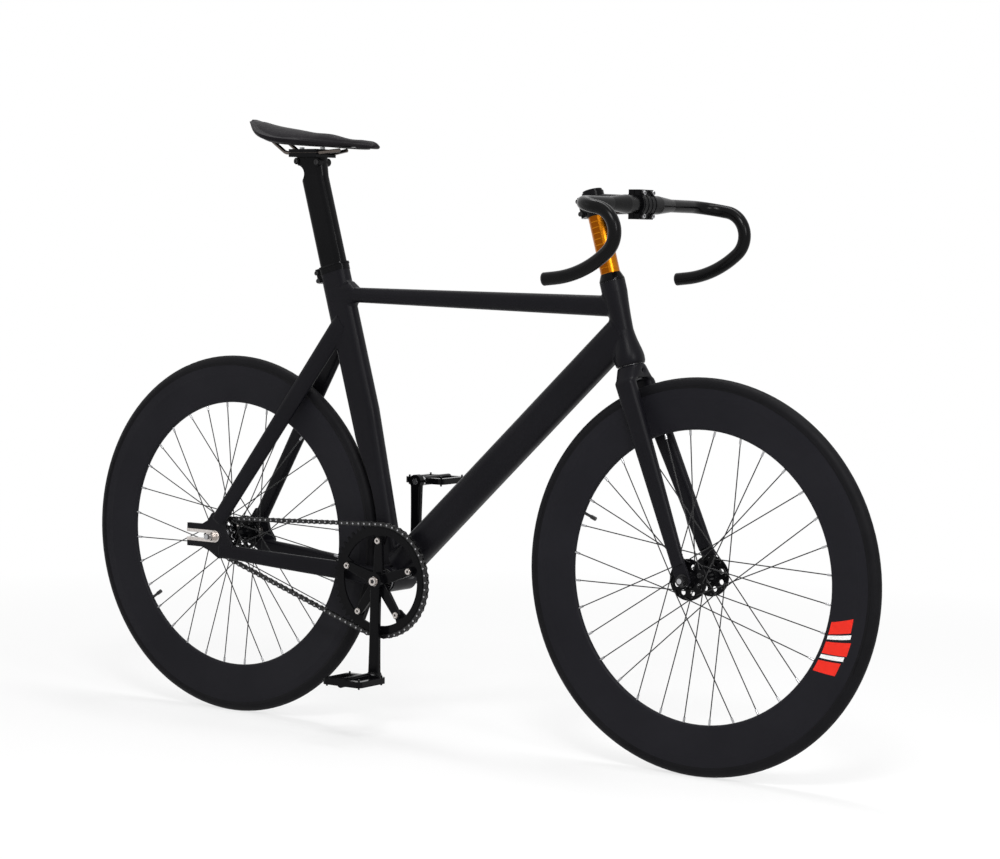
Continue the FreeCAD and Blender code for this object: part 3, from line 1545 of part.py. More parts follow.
def rail_paths():
    rear = saddle_underside(-rail_rear_reach)
    nose = saddle_underside(rail_nose_reach)
    spread = rail_spread / 2
    level = clamp_place.z
    points = [
        Vector(clamp_place.x - rail_rear_reach, spread, rear - rail_radius - rail_gap),
        Vector(clamp_place.x - rail_flat_back, spread, level),
        Vector(clamp_place.x + rail_flat_front, spread, level),
        Vector(clamp_place.x + rail_nose_reach, rail_nose_spread / 2, nose - rail_radius - rail_gap),
    ]
    return rounded_path(points, rail_bend)


def saddle_underside(reach):
    """Height of the base's underside at a distance ahead of the clamp."""
    share = (reach + saddle_rear_overhang) / saddle_length
    stations = list(zip(saddle_station_shares, saddle_bottom_shares))
    for (before, low), (after, high) in zip(stations, stations[1:]):
        if before <= share <= after:
            level = low + (high - low) * (share - before) / (after - before)
    return clamp_place.z + saddle_rise * level - saddle_base_gap - saddle_base_thickness


def saddle_station(index):
    x = clamp_place.x - saddle_rear_overhang + saddle_length * saddle_station_shares[index]
    top = clamp_place.z + saddle_rise * saddle_top_shares[index]
    bottom = clamp_place.z + saddle_rise * saddle_bottom_shares[index]
    return x, top, bottom, saddle_width / 2 * saddle_half_width_shares[index]


def saddle_cover():
    """Padded cover: crowned top, drawn-in sides, raised tail and slim nose."""
    wires = []
    for index in range(len(saddle_station_shares)):
        x, top, bottom, half = saddle_station(index)
        rise = top - bottom
        base = half * saddle_bottom_width_share
        shoulder = half * saddle_shoulder_width_share
        shoulder_rise = rise * saddle_shoulder_height_shares[index]
        shoulder_z = bottom + shoulder_rise
        side_z = bottom + shoulder_rise * saddle_side_share
        right = Part.Arc(Vector(x, -base, bottom), Vector(x, -half, side_z), Vector(x, -shoulder, shoulder_z))
        crown = Part.Arc(Vector(x, -shoulder, shoulder_z), Vector(x, 0, top), Vector(x, shoulder, shoulder_z))
        left = Part.Arc(Vector(x, shoulder, shoulder_z), Vector(x, half, side_z), Vector(x, base, bottom))
        floor = Part.LineSegment(Vector(x, base, bottom), Vector(x, -base, bottom))
        wires.append(Part.Wire([piece.toShape() for piece in (right, crown, left, floor)]))
    return Part.makeLoft(wires, True)


def saddle_base(rails):
    wires = []
    for index in range(2, len(saddle_station_shares) - 2):
        x, top, bottom, half = saddle_station(index)
        centre = Vector(x, 0, bottom - saddle_base_gap - saddle_base_thickness / 2)
        wide = 2 * half * saddle_base_width_share
        corner = saddle_base_corner_share
        wires.append(rounded_wire(centre, z_way, y_way, saddle_base_thickness, wide, corner))
    return largest(Part.makeLoft(wires, True).cut(saddle_cover()).cut(rails))


def clamp_bolt_places():
    half = clamp_bolt_spacing / 2
    return [clamp_place + x_way * half, clamp_place - x_way * half]


def make_saddle():
    rail = swept(rail_paths(), rail_radius)
    rails = both_sides(rail)
    rail_group = Part.makeCompound(rails)
    half_width = rail_spread / 2 + clamp_overhang
    corner = Vector(clamp_place.x - clamp_length / 2, -half_width, clamp_place.z)
    far = Vector(clamp_place.x + clamp_length / 2, half_width, clamp_place.z)
    split = z_way * (clamp_split / 2)
    bolts = []
    for spot in clamp_bolt_places():
        low = spot - z_way * (clamp_lower_height + clamp_barrel_radius)
        top = spot + z_way * clamp_upper_height
        shank = round_bar(low, top, clamp_bolt_radius)
        head = Part.makeCylinder(clamp_bolt_head_radius, clamp_bolt_head_height, top, z_way)
        bolts.append(shank.fuse(head).removeSplitter())
    bolt_group = Part.makeCompound(bolts)
    lower = block(corner - z_way * clamp_lower_height, far - split).cut(rail_group).cut(bolt_group)
    upper = block(corner + split, far + z_way * clamp_upper_height).cut(rail_group).cut(bolt_group)

    post_top = seat_tube_length + post_exposed
    post_low = seat_tube_length - post_inserted
    post = tube(seat_sections(0, post_low, post_top), post_wall)
    post = post.fuse(solid_tube(seat_sections(0, post_top - 2 * post_neck_radius, post_top)))
    head_top = clamp_place - z_way * clamp_lower_height
    head_low = head_top - z_way * post_head_height
    top_outline = rounded_wire(head_low, x_way, y_way, post_head_length, post_head_width)
    neck_low = seating(post_top - post_neck_radius)
    neck = Part.makeLoft([
        rounded_wire(neck_low, seat_ahead, y_way, post_chord - post_wall, post_thickness - post_wall),
        top_outline,
    ], True)
    post = post.fuse(neck)
    notch_place = seating(post_top + post_neck_rise, -(post_chord / 2 + post_neck_back))
    notch = y_disc(post_neck_radius, -post_thickness, post_thickness, notch_place)
    post = post.cut(notch).fuse(Part.Face(top_outline).extrude(z_way * post_head_height))
    post = post.cut(bolt_group)
    save("seatpost", largest(post))
    save("saddle_clamp", [lower, upper])
    save("saddle_clamp_bolts", bolts)
    save("saddle_rails", rails)
    save("saddle_base", saddle_base(rail_group))
    save("saddle_cover", saddle_cover())


os.makedirs("parts", exist_ok=True)
make_wheels()
make_crank_set(make_drive_train())
make_pedals()
make_frame()
make_fork()
make_saddle()
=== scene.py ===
import math

import bmesh
import bpy
from mathutils import Matrix, Vector
from mathutils.bvhtree import BVHTree


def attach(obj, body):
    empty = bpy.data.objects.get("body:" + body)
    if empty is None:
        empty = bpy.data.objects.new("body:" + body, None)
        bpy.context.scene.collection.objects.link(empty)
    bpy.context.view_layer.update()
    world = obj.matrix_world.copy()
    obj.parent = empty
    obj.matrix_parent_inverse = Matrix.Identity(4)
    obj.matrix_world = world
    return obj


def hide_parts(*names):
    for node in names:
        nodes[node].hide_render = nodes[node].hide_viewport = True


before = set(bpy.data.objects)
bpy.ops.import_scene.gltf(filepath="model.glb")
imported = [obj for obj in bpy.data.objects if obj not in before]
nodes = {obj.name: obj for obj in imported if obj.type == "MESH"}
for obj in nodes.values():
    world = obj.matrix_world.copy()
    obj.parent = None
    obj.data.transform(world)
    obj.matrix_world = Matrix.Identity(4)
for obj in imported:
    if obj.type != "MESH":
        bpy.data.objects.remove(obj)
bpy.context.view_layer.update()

X_AXIS = Vector((1.0, 0.0, 0.0))
Y_AXIS = Vector((0.0, 1.0, 0.0))
Z_AXIS = Vector((0.0, 0.0, 1.0))
FULL_TURN = 2 * math.pi
WHITE = (1.0, 1.0, 1.0)

# Edges that bend more than this stay sharp
FLAT_CREASE = math.radians(35.0)
SWELL_CREASE = math.radians(50.0)

# Places and sizes repeated from the part, in metres
FRONT_AXLE = Vector((0.505, 0.0, 0.336))
REAR_AXLE = Vector((-0.505, 0.0, 0.336))
HUBS = {
    "front": {"axle": FRONT_AXLE, "flange": 0.035, "offset": 0.037, "body": "front_wheel"},
    "rear": {"axle": REAR_AXLE, "flange": 0.032, "offset": 0.030, "body": "rear_wheel"},
}
SPOKES_PER_SIDE = 16
SPOKE_RADIUS = 0.001
FLANGE_THICKNESS = 0.0032
TYRE_SEAT_RADIUS = 0.318
CHAIN_PITCH = 0.0127
PIN_RADIUS = 0.0018
BAR_CENTRE = Vector((0.374916, 0.0, 0.958266))
CLAMP_RADIUS = 0.0205
CLAMP_HALF_WIDTH = 0.022
POCKET_FLOOR = 0.0153
SEAT_TILT = math.radians(16.0)
SEAT_UP = Vector((-math.sin(SEAT_TILT), 0.0, math.cos(SEAT_TILT)))
STEER_UP = SEAT_UP.copy()
STEER_BASE = Vector((0.465588, 0.0, 0.324699))
STAY_END = Vector((-0.494, 0.0, 0.366))
STAY_TOP = Vector((-0.246838, 0.0, 0.735454))
POST_HEAD = Vector((-0.331843, 0.0, 1.03249))


# Materials

# Name, dark tone, light tone, least and most roughness, specular level, grain scale, grain depth
COATED_METALS = (
    ("frame_paint", (0.0046, 0.0044, 0.0060), (0.0064, 0.0061, 0.0080), 0.32, 0.42, 0.08, 1300.0, 0.00012),
    ("gloss_black", (0.0022, 0.0022, 0.0027), (0.0036, 0.0035, 0.0041), 0.12, 0.21, 0.07, 900.0, 0.00004),
    ("bar_black", (0.0022, 0.0022, 0.0025), (0.0034, 0.0033, 0.0036), 0.18, 0.28, 0.09, 1500.0, 0.00006),
    ("black_steel", (0.0060, 0.0058, 0.0064), (0.0110, 0.0107, 0.0114), 0.20, 0.32, 0.3, 1700.0, 0.00006),
    ("spoke_black", (0.0070, 0.0070, 0.0076), (0.0120, 0.0120, 0.0126), 0.26, 0.36, 0.25, 1900.0, 0.00004),
)

# Name, dark tone, light tone, least and most roughness, scale and stretch of the tool lines
BARE_METALS = (
    ("gold_anodised", (0.35, 0.105, 0.004), (0.48, 0.170, 0.007), 0.22, 0.32, 240.0, (1.0, 1.0, 8.0)),
    ("rail_steel", (0.05, 0.043, 0.038), (0.17, 0.145, 0.13), 0.12, 0.2, 300.0, (1.0, 8.0, 8.0)),
    ("polished_alloy", (0.44, 0.405, 0.385), (0.66, 0.625, 0.60), 0.16, 0.28, 420.0, (1.0, 6.0, 1.0)),
    ("steel", (0.30, 0.30, 0.31), (0.46, 0.46, 0.47), 0.24, 0.36, 500.0, (1.0, 5.0, 1.0)),
)

# Painted shade: colour of the recessed pocket floors of the gold column
POCKET_SHADE_TONE = (0.20, 0.046, 0.002)
TYRE_TONES = ((0.0040, 0.0039, 0.0048), (0.0060, 0.0058, 0.0070))
TYRE_RINGS_PER_METRE = 3600.0
RIM_TONES = ((0.0074, 0.0072, 0.0096), (0.0104, 0.0101, 0.0130))
RIM_LINES_PER_METRE = 9000.0
SKIN_TONES = ((0.0056, 0.0048, 0.0062), (0.0085, 0.0074, 0.0092))
PLASTIC_TONE = (0.011, 0.011, 0.012)
PLASTIC_SPECKLE = 1.35
FILM_TONES = {"film_red": (0.78, 0.022, 0.010), "film_white": (0.86, 0.86, 0.85)}
FILM_SHADE = 0.92

NODE_FINISHES = {
    "frame_paint": ("head_tube", "top_tube", "down_tube", "seat_tube", "bottom_bracket_shell", "chainstays",
                    "seatstays", "dropouts", "fork_crown", "fork_blades"),
    "gloss_black": ("saddle_clamp", "stem", "stem_faceplate", "headset_cover", "top_cap", "seatpost",
                    "seat_collar", "crank_arm_right", "crank_arm_left", "chainring", "front_hub_shell",
                    "rear_hub_shell", "pedal_body_right", "pedal_body_left"),
    "bar_black": ("handlebar",),
    "gold_anodised": ("riser_column",),
    "polished_alloy": ("dropout_liners", "rear_axle_nuts", "chainring_bolts", "crank_bolts"),
    "steel": ("headset_bearings", "bottom_bracket_cups", "rear_axle", "front_axle", "front_hub_bearings",
              "rear_hub_bearings", "crank_spindle", "pedal_axles", "steerer_tube", "saddle_clamp_bolts",
              "sprocket", "lockring", "front_nipples", "rear_nipples"),
    "rail_steel": ("saddle_rails",),
    "black_steel": ("chain", "stem_bolts", "seat_collar_bolts", "front_valve", "rear_valve", "front_axle_nuts"),
    "spoke_black": ("front_spokes", "rear_spokes"),
    "front_rim_coat": ("front_rim",),
    "rear_rim_coat": ("rear_rim",),
    "front_tyre_rubber": ("front_tyre",),
    "rear_tyre_rubber": ("rear_tyre",),
    "saddle_skin": ("saddle_cover",),
    "black_plastic": ("saddle_base", "bar_end_plugs"),
}


def start_material(name):
    material = bpy.data.materials.new(name)
    material.use_nodes = True
    tree = material.node_tree
    return material, tree, tree.nodes["Principled BSDF"]


def object_place(tree):
    return tree.nodes.new("ShaderNodeTexCoord").outputs["Object"]


def noise(tree, place, scale, detail=2.0, rough=0.5):
    made = tree.nodes.new("ShaderNodeTexNoise")
    made.inputs["Scale"].default_value = scale
    made.inputs["Detail"].default_value = detail
    made.inputs["Roughness"].default_value = rough
    tree.links.new(place, made.inputs["Vector"])
    return made.outputs["Fac"]


def spread(tree, value, low, high, from_low=0.3, from_high=0.7):
    made = tree.nodes.new("ShaderNodeMapRange")
    made.inputs["From Min"].default_value = from_low
    made.inputs["From Max"].default_value = from_high
    made.inputs["To Min"].default_value = low
    made.inputs["To Max"].default_value = high
    tree.links.new(value, made.inputs["Value"])
    return made.outputs["Result"]


def two_tone(tree, value, first, second, low=0.3, high=0.7):
    made = tree.nodes.new("ShaderNodeValToRGB")
    made.color_ramp.elements[0].position = low
    made.color_ramp.elements[0].color = (*first, 1.0)
    made.color_ramp.elements[1].position = high
    made.color_ramp.elements[1].color = (*second, 1.0)
    tree.links.new(value, made.inputs["Fac"])
    return made.outputs["Color"]


def bump(tree, height, strength, distance, below=None):
    made = tree.nodes.new("ShaderNodeBump")
    made.inputs["Strength"].default_value = strength
    made.inputs["Distance"].default_value = distance
    tree.links.new(height, made.inputs["Height"])
    if below is not None:
        tree.links.new(below, made.inputs["Normal"])
    return made.outputs["Normal"]


def math_node(tree, operation, first, second=None):
    made = tree.nodes.new("ShaderNodeMath")
    made.operation = operation
    for index, value in enumerate((first, second)):
        if value is None:
            continue
        if isinstance(value, (int, float)):
            made.inputs[index].default_value = value
        else:
            tree.links.new(value, made.inputs[index])
    return made.outputs[0]


def axle_radius(tree, place, axle):
    """Distance of a surface point from a wheel's axle line."""
    parts = tree.nodes.new("ShaderNodeSeparateXYZ")
    tree.links.new(place, parts.inputs[0])
    ahead = math_node(tree, "SUBTRACT", parts.outputs["X"], axle.x)
    above = math_node(tree, "SUBTRACT", parts.outputs["Z"], axle.z)
    ahead_square = math_node(tree, "MULTIPLY", ahead, ahead)
    above_square = math_node(tree, "MULTIPLY", above, above)
    return math_node(tree, "SQRT", math_node(tree, "ADD", ahead_square, above_square))


def rings(tree, radius, per_metre):
    """Wave that runs round the axle."""
    return math_node(tree, "SINE", math_node(tree, "MULTIPLY", radius, per_metre))


def coated_metal(name, first, second, rough_low, rough_high, specular, grain, grain_depth):
    """Painted or anodised metal: cloudy tone, patchy gloss and a fine skin grain."""
    material, tree, shader = start_material(name)
    place = object_place(tree)
    cloud = noise(tree, place, scale=9.0, detail=4.0)
    tree.links.new(two_tone(tree, cloud, first, second), shader.inputs["Base Color"])
    patches = noise(tree, place, scale=38.0, detail=5.0, rough=0.6)
    tree.links.new(spread(tree, patches, rough_low, rough_high), shader.inputs["Roughness"])
    skin = noise(tree, place, scale=grain)
    tree.links.new(bump(tree, skin, strength=0.25, distance=grain_depth), shader.inputs["Normal"])
    shader.inputs["Specular IOR Level"].default_value = specular
    return material


def bare_metal(name, first, second, rough_low, rough_high, line_scale, stretch):
    """Bare metal with fine tool lines."""
    material, tree, shader = start_material(name)
    mapping = tree.nodes.new("ShaderNodeMapping")
    mapping.inputs["Scale"].default_value = stretch
    tree.links.new(object_place(tree), mapping.inputs["Vector"])
    lines = noise(tree, mapping.outputs["Vector"], scale=line_scale, detail=3.0)
    tree.links.new(two_tone(tree, lines, first, second), shader.inputs["Base Color"])
    tree.links.new(spread(tree, lines, rough_low, rough_high), shader.inputs["Roughness"])
    tree.links.new(bump(tree, lines, strength=0.12, distance=0.0001), shader.inputs["Normal"])
    shader.inputs["Metallic"].default_value = 1.0
    return material


def paint_pocket_shade(material):
    """Painted shade: darker floors in the side pockets of the gold column, where shade falls in the recess."""
    tree = material.node_tree
    shader = tree.nodes["Principled BSDF"]
    parts = tree.nodes.new("ShaderNodeSeparateXYZ")
    tree.links.new(object_place(tree), parts.inputs[0])
    side = math_node(tree, "ABSOLUTE", parts.outputs["Y"])
    off_floor = math_node(tree, "ABSOLUTE", math_node(tree, "SUBTRACT", side, POCKET_FLOOR))
    shade = spread(tree, off_floor, low=0.85, high=0.0, from_low=0.00008, from_high=0.0003)
    mix = tree.nodes.new("ShaderNodeMix")
    mix.data_type = "RGBA"
    tree.links.new(shade, mix.inputs["Factor"])
    tree.links.new(shader.inputs["Base Color"].links[0].from_socket, mix.inputs["A"])
    mix.inputs["B"].default_value = (*POCKET_SHADE_TONE, 1.0)
    tree.links.new(mix.outputs["Result"], shader.inputs["Base Color"])


def tyre_rubber(name, axle):
    """Slick tyre: a duller crown with a fine grain, and moulded rings on the side wall."""
    material, tree, shader = start_material(name)
    place = object_place(tree)
    radius = axle_radius(tree, place, axle)
    cloud = noise(tree, place, scale=24.0, detail=4.0)
    tree.links.new(two_tone(tree, cloud, *TYRE_TONES), shader.inputs["Base Color"])
    crown = spread(tree, radius, low=0.46, high=0.6, from_low=0.325, from_high=0.335)
    dust = spread(tree, noise(tree, place, scale=160.0, detail=5.0, rough=0.65), low=-0.05, high=0.06)
    tree.links.new(math_node(tree, "ADD", crown, dust), shader.inputs["Roughness"])
    below = bump(tree, rings(tree, radius, TYRE_RINGS_PER_METRE), strength=0.12, distance=0.0002)
    fine = noise(tree, place, scale=1800.0)
    tree.links.new(bump(tree, fine, strength=0.2, distance=0.0003, below=below), shader.inputs["Normal"])
    shader.inputs["Specular IOR Level"].default_value = 0.08
    return material


def rim_coat(name, axle):
    """Matte black deep rim with faint turning lines about the axle."""
    material, tree, shader = start_material(name)
    place = object_place(tree)
    radius = axle_radius(tree, place, axle)
    cloud = noise(tree, place, scale=7.0, detail=4.0)
    tree.links.new(two_tone(tree, cloud, *RIM_TONES), shader.inputs["Base Color"])
    patches = noise(tree, place, scale=46.0, detail=5.0, rough=0.6)
    tree.links.new(spread(tree, patches, low=0.46, high=0.56), shader.inputs["Roughness"])
    below = bump(tree, rings(tree, radius, RIM_LINES_PER_METRE), strength=0.03, distance=0.0001)
    grain = noise(tree, place, scale=1500.0)
    tree.links.new(bump(tree, grain, strength=0.2, distance=0.00015, below=below), shader.inputs["Normal"])
    shader.inputs["Specular IOR Level"].default_value = 0.09
    return material


def saddle_skin_finish(name):
    """Synthetic saddle skin: fine pebble grain and a soft, patchy sheen."""
    material, tree, shader = start_material(name)
    place = object_place(tree)
    cells = tree.nodes.new("ShaderNodeTexVoronoi")
    cells.inputs["Scale"].default_value = 900.0
    tree.links.new(place, cells.inputs["Vector"])
    cloud = noise(tree, place, scale=30.0, detail=4.0)
    tree.links.new(two_tone(tree, cloud, *SKIN_TONES), shader.inputs["Base Color"])
    patches = noise(tree, place, scale=75.0, detail=4.0)
    tree.links.new(spread(tree, patches, low=0.4, high=0.54), shader.inputs["Roughness"])
    below = bump(tree, cells.outputs["Distance"], strength=0.22, distance=0.0003)
    fine = noise(tree, place, scale=420.0, detail=3.0)
    tree.links.new(bump(tree, fine, strength=0.12, distance=0.0004, below=below), shader.inputs["Normal"])
    shader.inputs["Specular IOR Level"].default_value = 0.07
    shader.inputs["Sheen Weight"].default_value = 0.02
    shader.inputs["Sheen Roughness"].default_value = 0.4
    return material


def moulded_plastic(name, tone):
    """Plastic with a fine speckle."""
    material, tree, shader = start_material(name)
    place = object_place(tree)
    speckle = noise(tree, place, scale=700.0, detail=3.0)
    lighter = tuple(value * PLASTIC_SPECKLE for value in tone)
    tree.links.new(two_tone(tree, speckle, tone, lighter), shader.inputs["Base Color"])
    patches = noise(tree, place, scale=60.0, detail=4.0)
    tree.links.new(spread(tree, patches, low=0.46, high=0.6), shader.inputs["Roughness"])
    tree.links.new(bump(tree, speckle, strength=0.18, distance=0.0003), shader.inputs["Normal"])
    shader.inputs["Specular IOR Level"].default_value = 0.25
    return material


def printed_film(name, tone):
    """Thin printed film on the rim."""
    material, tree, shader = start_material(name)
    place = object_place(tree)
    cloud = noise(tree, place, scale=55.0, detail=4.0)
    darker = tuple(value * FILM_SHADE for value in tone)
    tree.links.new(two_tone(tree, cloud, darker, tone), shader.inputs["Base Color"])
    patches = noise(tree, place, scale=300.0, detail=3.0)
    tree.links.new(spread(tree, patches, low=0.38, high=0.48), shader.inputs["Roughness"])
    shader.inputs["Specular IOR Level"].default_value = 0.2
    return material


def make_materials():
    made = {row[0]: coated_metal(*row) for row in COATED_METALS}
    made.update({row[0]: bare_metal(*row) for row in BARE_METALS})
    # Painted shade on the floors of the gold column's pockets
    paint_pocket_shade(made["gold_anodised"])
    for wheel, hub in HUBS.items():
        made[wheel + "_rim_coat"] = rim_coat(wheel + "_rim_coat", hub["axle"])
        made[wheel + "_tyre_rubber"] = tyre_rubber(wheel + "_tyre_rubber", hub["axle"])
    made["saddle_skin"] = saddle_skin_finish("saddle_skin")
    made["black_plastic"] = moulded_plastic("black_plastic", PLASTIC_TONE)
    made.update({name: printed_film(name, tone) for name, tone in FILM_TONES.items()})
    return made


materials = make_materials()


def finish_nodes():
    for finish, names in NODE_FINISHES.items():
        for name in names:
            slots = nodes[name].data.materials
            slots.clear()
            slots.append(materials[finish])


# Making pieces

MERGE_DISTANCE = 0.000002

# Pieces that later pieces are fitted to in place of a node, by name
stand_ins = {}


def piece_from_mesh(name, mesh, body, finish):
    mesh.materials.clear()
    mesh.materials.append(materials[finish])
    made = bpy.data.objects.new(name, mesh)
    bpy.context.scene.collection.objects.link(made)
    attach(made, body)
    return made


def piece(name, shape, body, finish, smooth=True, crease=math.pi):
    """Turn a bmesh into a named piece that rides on a body."""
    bmesh.ops.recalc_face_normals(shape, faces=shape.faces)
    for face in shape.faces:
        face.smooth = smooth
    for edge in shape.edges:
        edge.smooth = edge.calc_face_angle(0.0) < crease
    mesh = bpy.data.meshes.new(name)
    shape.to_mesh(mesh)
    shape.free()
    return piece_from_mesh(name, mesh, body, finish)


def along(direction):
    """Rotation that turns +Z to a direction."""
    return direction.to_track_quat("Z", "Y").to_matrix().to_4x4()


def unit_share(value):
    """Value held between 0 and 1."""
    return min(max(value, 0.0), 1.0)


def evaluated_mesh(holder):
    bpy.context.view_layer.update()
    graph = bpy.context.evaluated_depsgraph_get()
    return bpy.data.meshes.new_from_object(holder.evaluated_get(graph), depsgraph=graph)


def temporary_object(name, shape):
    """Object made from a bmesh, which is used up."""
    mesh = bpy.data.meshes.new(name)
    shape.to_mesh(mesh)
    shape.free()
    holder = bpy.data.objects.new(name, mesh)
    bpy.context.scene.collection.objects.link(holder)
    return holder


def voxel_skin(name, shape, voxel):
    """Even skin over a bmesh, which is used up."""
    holder = temporary_object(name + "_source", shape)
    remesh = holder.modifiers.new("skin", "REMESH")
    remesh.mode = "VOXEL"
    remesh.voxel_size = voxel
    mesh = evaluated_mesh(holder)
    bpy.data.objects.remove(holder)
    skin = bmesh.new()
    skin.from_mesh(mesh)
    bpy.data.meshes.remove(mesh)
    return skin


def smooth_points(shape, rounds):
    for _ in range(rounds):
        bmesh.ops.smooth_vert(shape, verts=shape.verts, factor=0.5,
                              use_axis_x=True, use_axis_y=True, use_axis_z=True)


def merged_nodes(names):
    """Joined copy of nodes, or of the pieces that stand in for them."""
    shape = bmesh.new()
    for name in names:
        shown = stand_ins[name] if name in stand_ins else nodes[name]
        shape.from_mesh(shown.data)
    bmesh.ops.remove_doubles(shape, verts=shape.verts, dist=MERGE_DISTANCE)
    return shape


def islands_of(shape):
    """Lists of the points that hang together, one list per closed shell."""
    seen = set()
    found = []
    for first in shape.verts:
        if first in seen:
            continue
        seen.add(first)
        island = [first]
        for vert in island:
            for edge in vert.link_edges:
                other = edge.other_vert(vert)
                if other not in seen:
                    seen.add(other)
                    island.append(other)
        found.append(island)
    return found


def span(points):
    """Lowest and highest corner of a list of points."""
    low = Vector([min(spot[axis] for spot in points) for axis in range(3)])
    high = Vector([max(spot[axis] for spot in points) for axis in range(3)])
    return low, high


def island_length(island):
    low, high = span([vert.co for vert in island])
    return (high - low).length


def keep_last(shape, shells):
    """Delete every shell of a list but the last one."""
    hidden = [vert for shell in shells[:-1] for vert in shell]
    bmesh.ops.delete(shape, geom=hidden, context="VERTS")


def node_solids(name):
    """Corner points of every solid of a node, one list per solid."""
    shape = merged_nodes([name])
    found = [[vert.co.copy() for vert in island] for island in islands_of(shape)]
    shape.free()
    return found


# Seatstays

STAY_TIP_SCALE = 1.35
STAY_ROOT_SCALE = 1.67
STAY_ROOT_LIFT = 0.008


def deep_seatstays():
    """Deep blade-shaped stays that taper from the seat tube to the dropouts."""
    shape = merged_nodes(["seatstays"])
    for side in (-1, 1):
        shells = [island for island in islands_of(shape) if island[0].co.y * side > 0.0]
        keep_last(shape, sorted(shells, key=island_length))
    run = STAY_TOP - STAY_END
    across = Vector((run.z, 0.0, -run.x)).normalized()
    along_tube = SEAT_UP / SEAT_UP.dot(across)
    for vert in shape.verts:
        start = vert.co - STAY_END
        share = unit_share(start.dot(run) / run.length_squared)
        scale = STAY_TIP_SCALE + (STAY_ROOT_SCALE - STAY_TIP_SCALE) * share
        vert.co += across.lerp(along_tube, share) * (start.dot(across) * (scale - 1.0))
        vert.co += SEAT_UP * (STAY_ROOT_LIFT * share)
    made = piece("deep_seatstays", shape, "frame", "frame_paint", crease=FLAT_CREASE)
    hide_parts("seatstays")
    stand_ins["seatstays"] = made


# Head

# Radius and height up the steering axis, round the closed profile of the swell
HEAD_BULGE = (
    (0.0236, 0.3764), (0.0249, 0.3774), (0.0259, 0.3810), (0.0263, 0.3870), (0.0258, 0.3935), (0.0244, 0.4010),
    (0.0223, 0.4095), (0.0202, 0.4190), (0.0186, 0.4290), (0.0174, 0.4400), (0.0169, 0.4400), (0.0172, 0.4250),
    (0.0185, 0.4080), (0.0205, 0.3960), (0.0220, 0.3870), (0.0220, 0.3770),
)
BULGE_STEPS = 72


def head_bulge():
    """Rounded swell at the foot of the head tube, over the lower bearing."""
    ahead = Vector((STEER_UP.z, 0.0, -STEER_UP.x))
    shape = bmesh.new()
    ring = [shape.verts.new(STEER_BASE + STEER_UP * height + ahead * radius) for radius, height in HEAD_BULGE]
    edges = [shape.edges.new((first, second)) for first, second in zip(ring, ring[1:] + ring[:1])]
    bmesh.ops.spin(shape, geom=ring + edges, cent=STEER_BASE, axis=STEER_UP, angle=FULL_TURN,
                   steps=BULGE_STEPS, use_merge=True)
    made = piece("head_bulge", shape, "frame", "frame_paint", crease=SWELL_CREASE)
    stand_ins["head_bulge"] = made


# Seat collar

COLLAR_LIP_DEPTH = 0.0035
COLLAR_LIP_SWELL = 0.0011


def collar_lip():
    """Raised lip round the top of the seat collar, on its outer wall only, so that the post runs free."""
    shape = merged_nodes(["seat_collar"])
    level = max(vert.co.dot(SEAT_UP) for vert in shape.verts) - COLLAR_LIP_DEPTH
    everything = shape.verts[:] + shape.edges[:] + shape.faces[:]
    bmesh.ops.bisect_plane(shape, geom=everything, plane_co=SEAT_UP * level, plane_no=SEAT_UP, clear_inner=True)
    rims = [edge for edge in shape.edges if edge.is_boundary]
    bmesh.ops.bridge_loops(shape, edges=rims)
    shape.normal_update()
    middle = sum((vert.co for vert in shape.verts), Vector()) / len(shape.verts)
    for vert in shape.verts:
        out = vert.normal - SEAT_UP * vert.normal.dot(SEAT_UP)
        if out.dot(vert.co - middle) > 0.0:
            vert.co += out * COLLAR_LIP_SWELL
    piece("collar_lip", shape, "frame", "gloss_black", crease=FLAT_CREASE)


# Fork

FORK_VOXEL = 0.0018
FORK_SMOOTHING = 14
FORK_ROUNDED_BELOW_CROWN = 0.055
FORK_BLEND_LENGTH = 0.03


def fork_body():
    """Crown and blades as one casting, rounded where they meet and true to the blades below."""
    crown = merged_nodes(["fork_crown"])
    meeting = min(vert.co.dot(STEER_UP) for vert in crown.verts)
    crown.free()
    source = merged_nodes(["fork_crown", "fork_blades"])
    solid = BVHTree.FromBMesh(source)
    skin = voxel_skin("fork_body", source, FORK_VOXEL)
    keep_last(skin, sorted(islands_of(skin), key=len))
    snug = {vert: solid.find_nearest(vert.co)[0] for vert in skin.verts}
    smooth_points(skin, FORK_SMOOTHING)
    for vert, spot in snug.items():
        share = unit_share((spot.dot(STEER_UP) - meeting + FORK_ROUNDED_BELOW_CROWN) / FORK_BLEND_LENGTH)
        vert.co = spot.lerp(vert.co, share * share * (3.0 - 2.0 * share))
    made = piece("fork_body", skin, "steering_set", "frame_paint")
    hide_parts("fork_crown", "fork_blades")


# Weld fillets: a smoothed skin over the joined tubes stands proud only in their creases

FILLET_TUBES = ("head_tube", "head_bulge", "top_tube", "down_tube", "seat_tube", "bottom_bracket_shell",
                "chainstays", "seatstays", "dropouts")
FILLET_VOXEL = 0.0024
FILLET_SMOOTHING = 10
FILLET_LEAST_HEIGHT = 0.00035
FILLET_RAY_START = 0.001
FILLET_OPEN_REACH = 0.06
FILLET_HEM_RINGS = 3
FILLET_HEM_SINK = 0.00012
FILLET_EDGE_SINK = 0.0004


def grown(verts, rounds):
    """Set of points with rings of neighbours added."""
    kept = set(verts)
    for _ in range(rounds):
        kept |= {edge.other_vert(vert) for vert in kept for edge in vert.link_edges}
    return kept


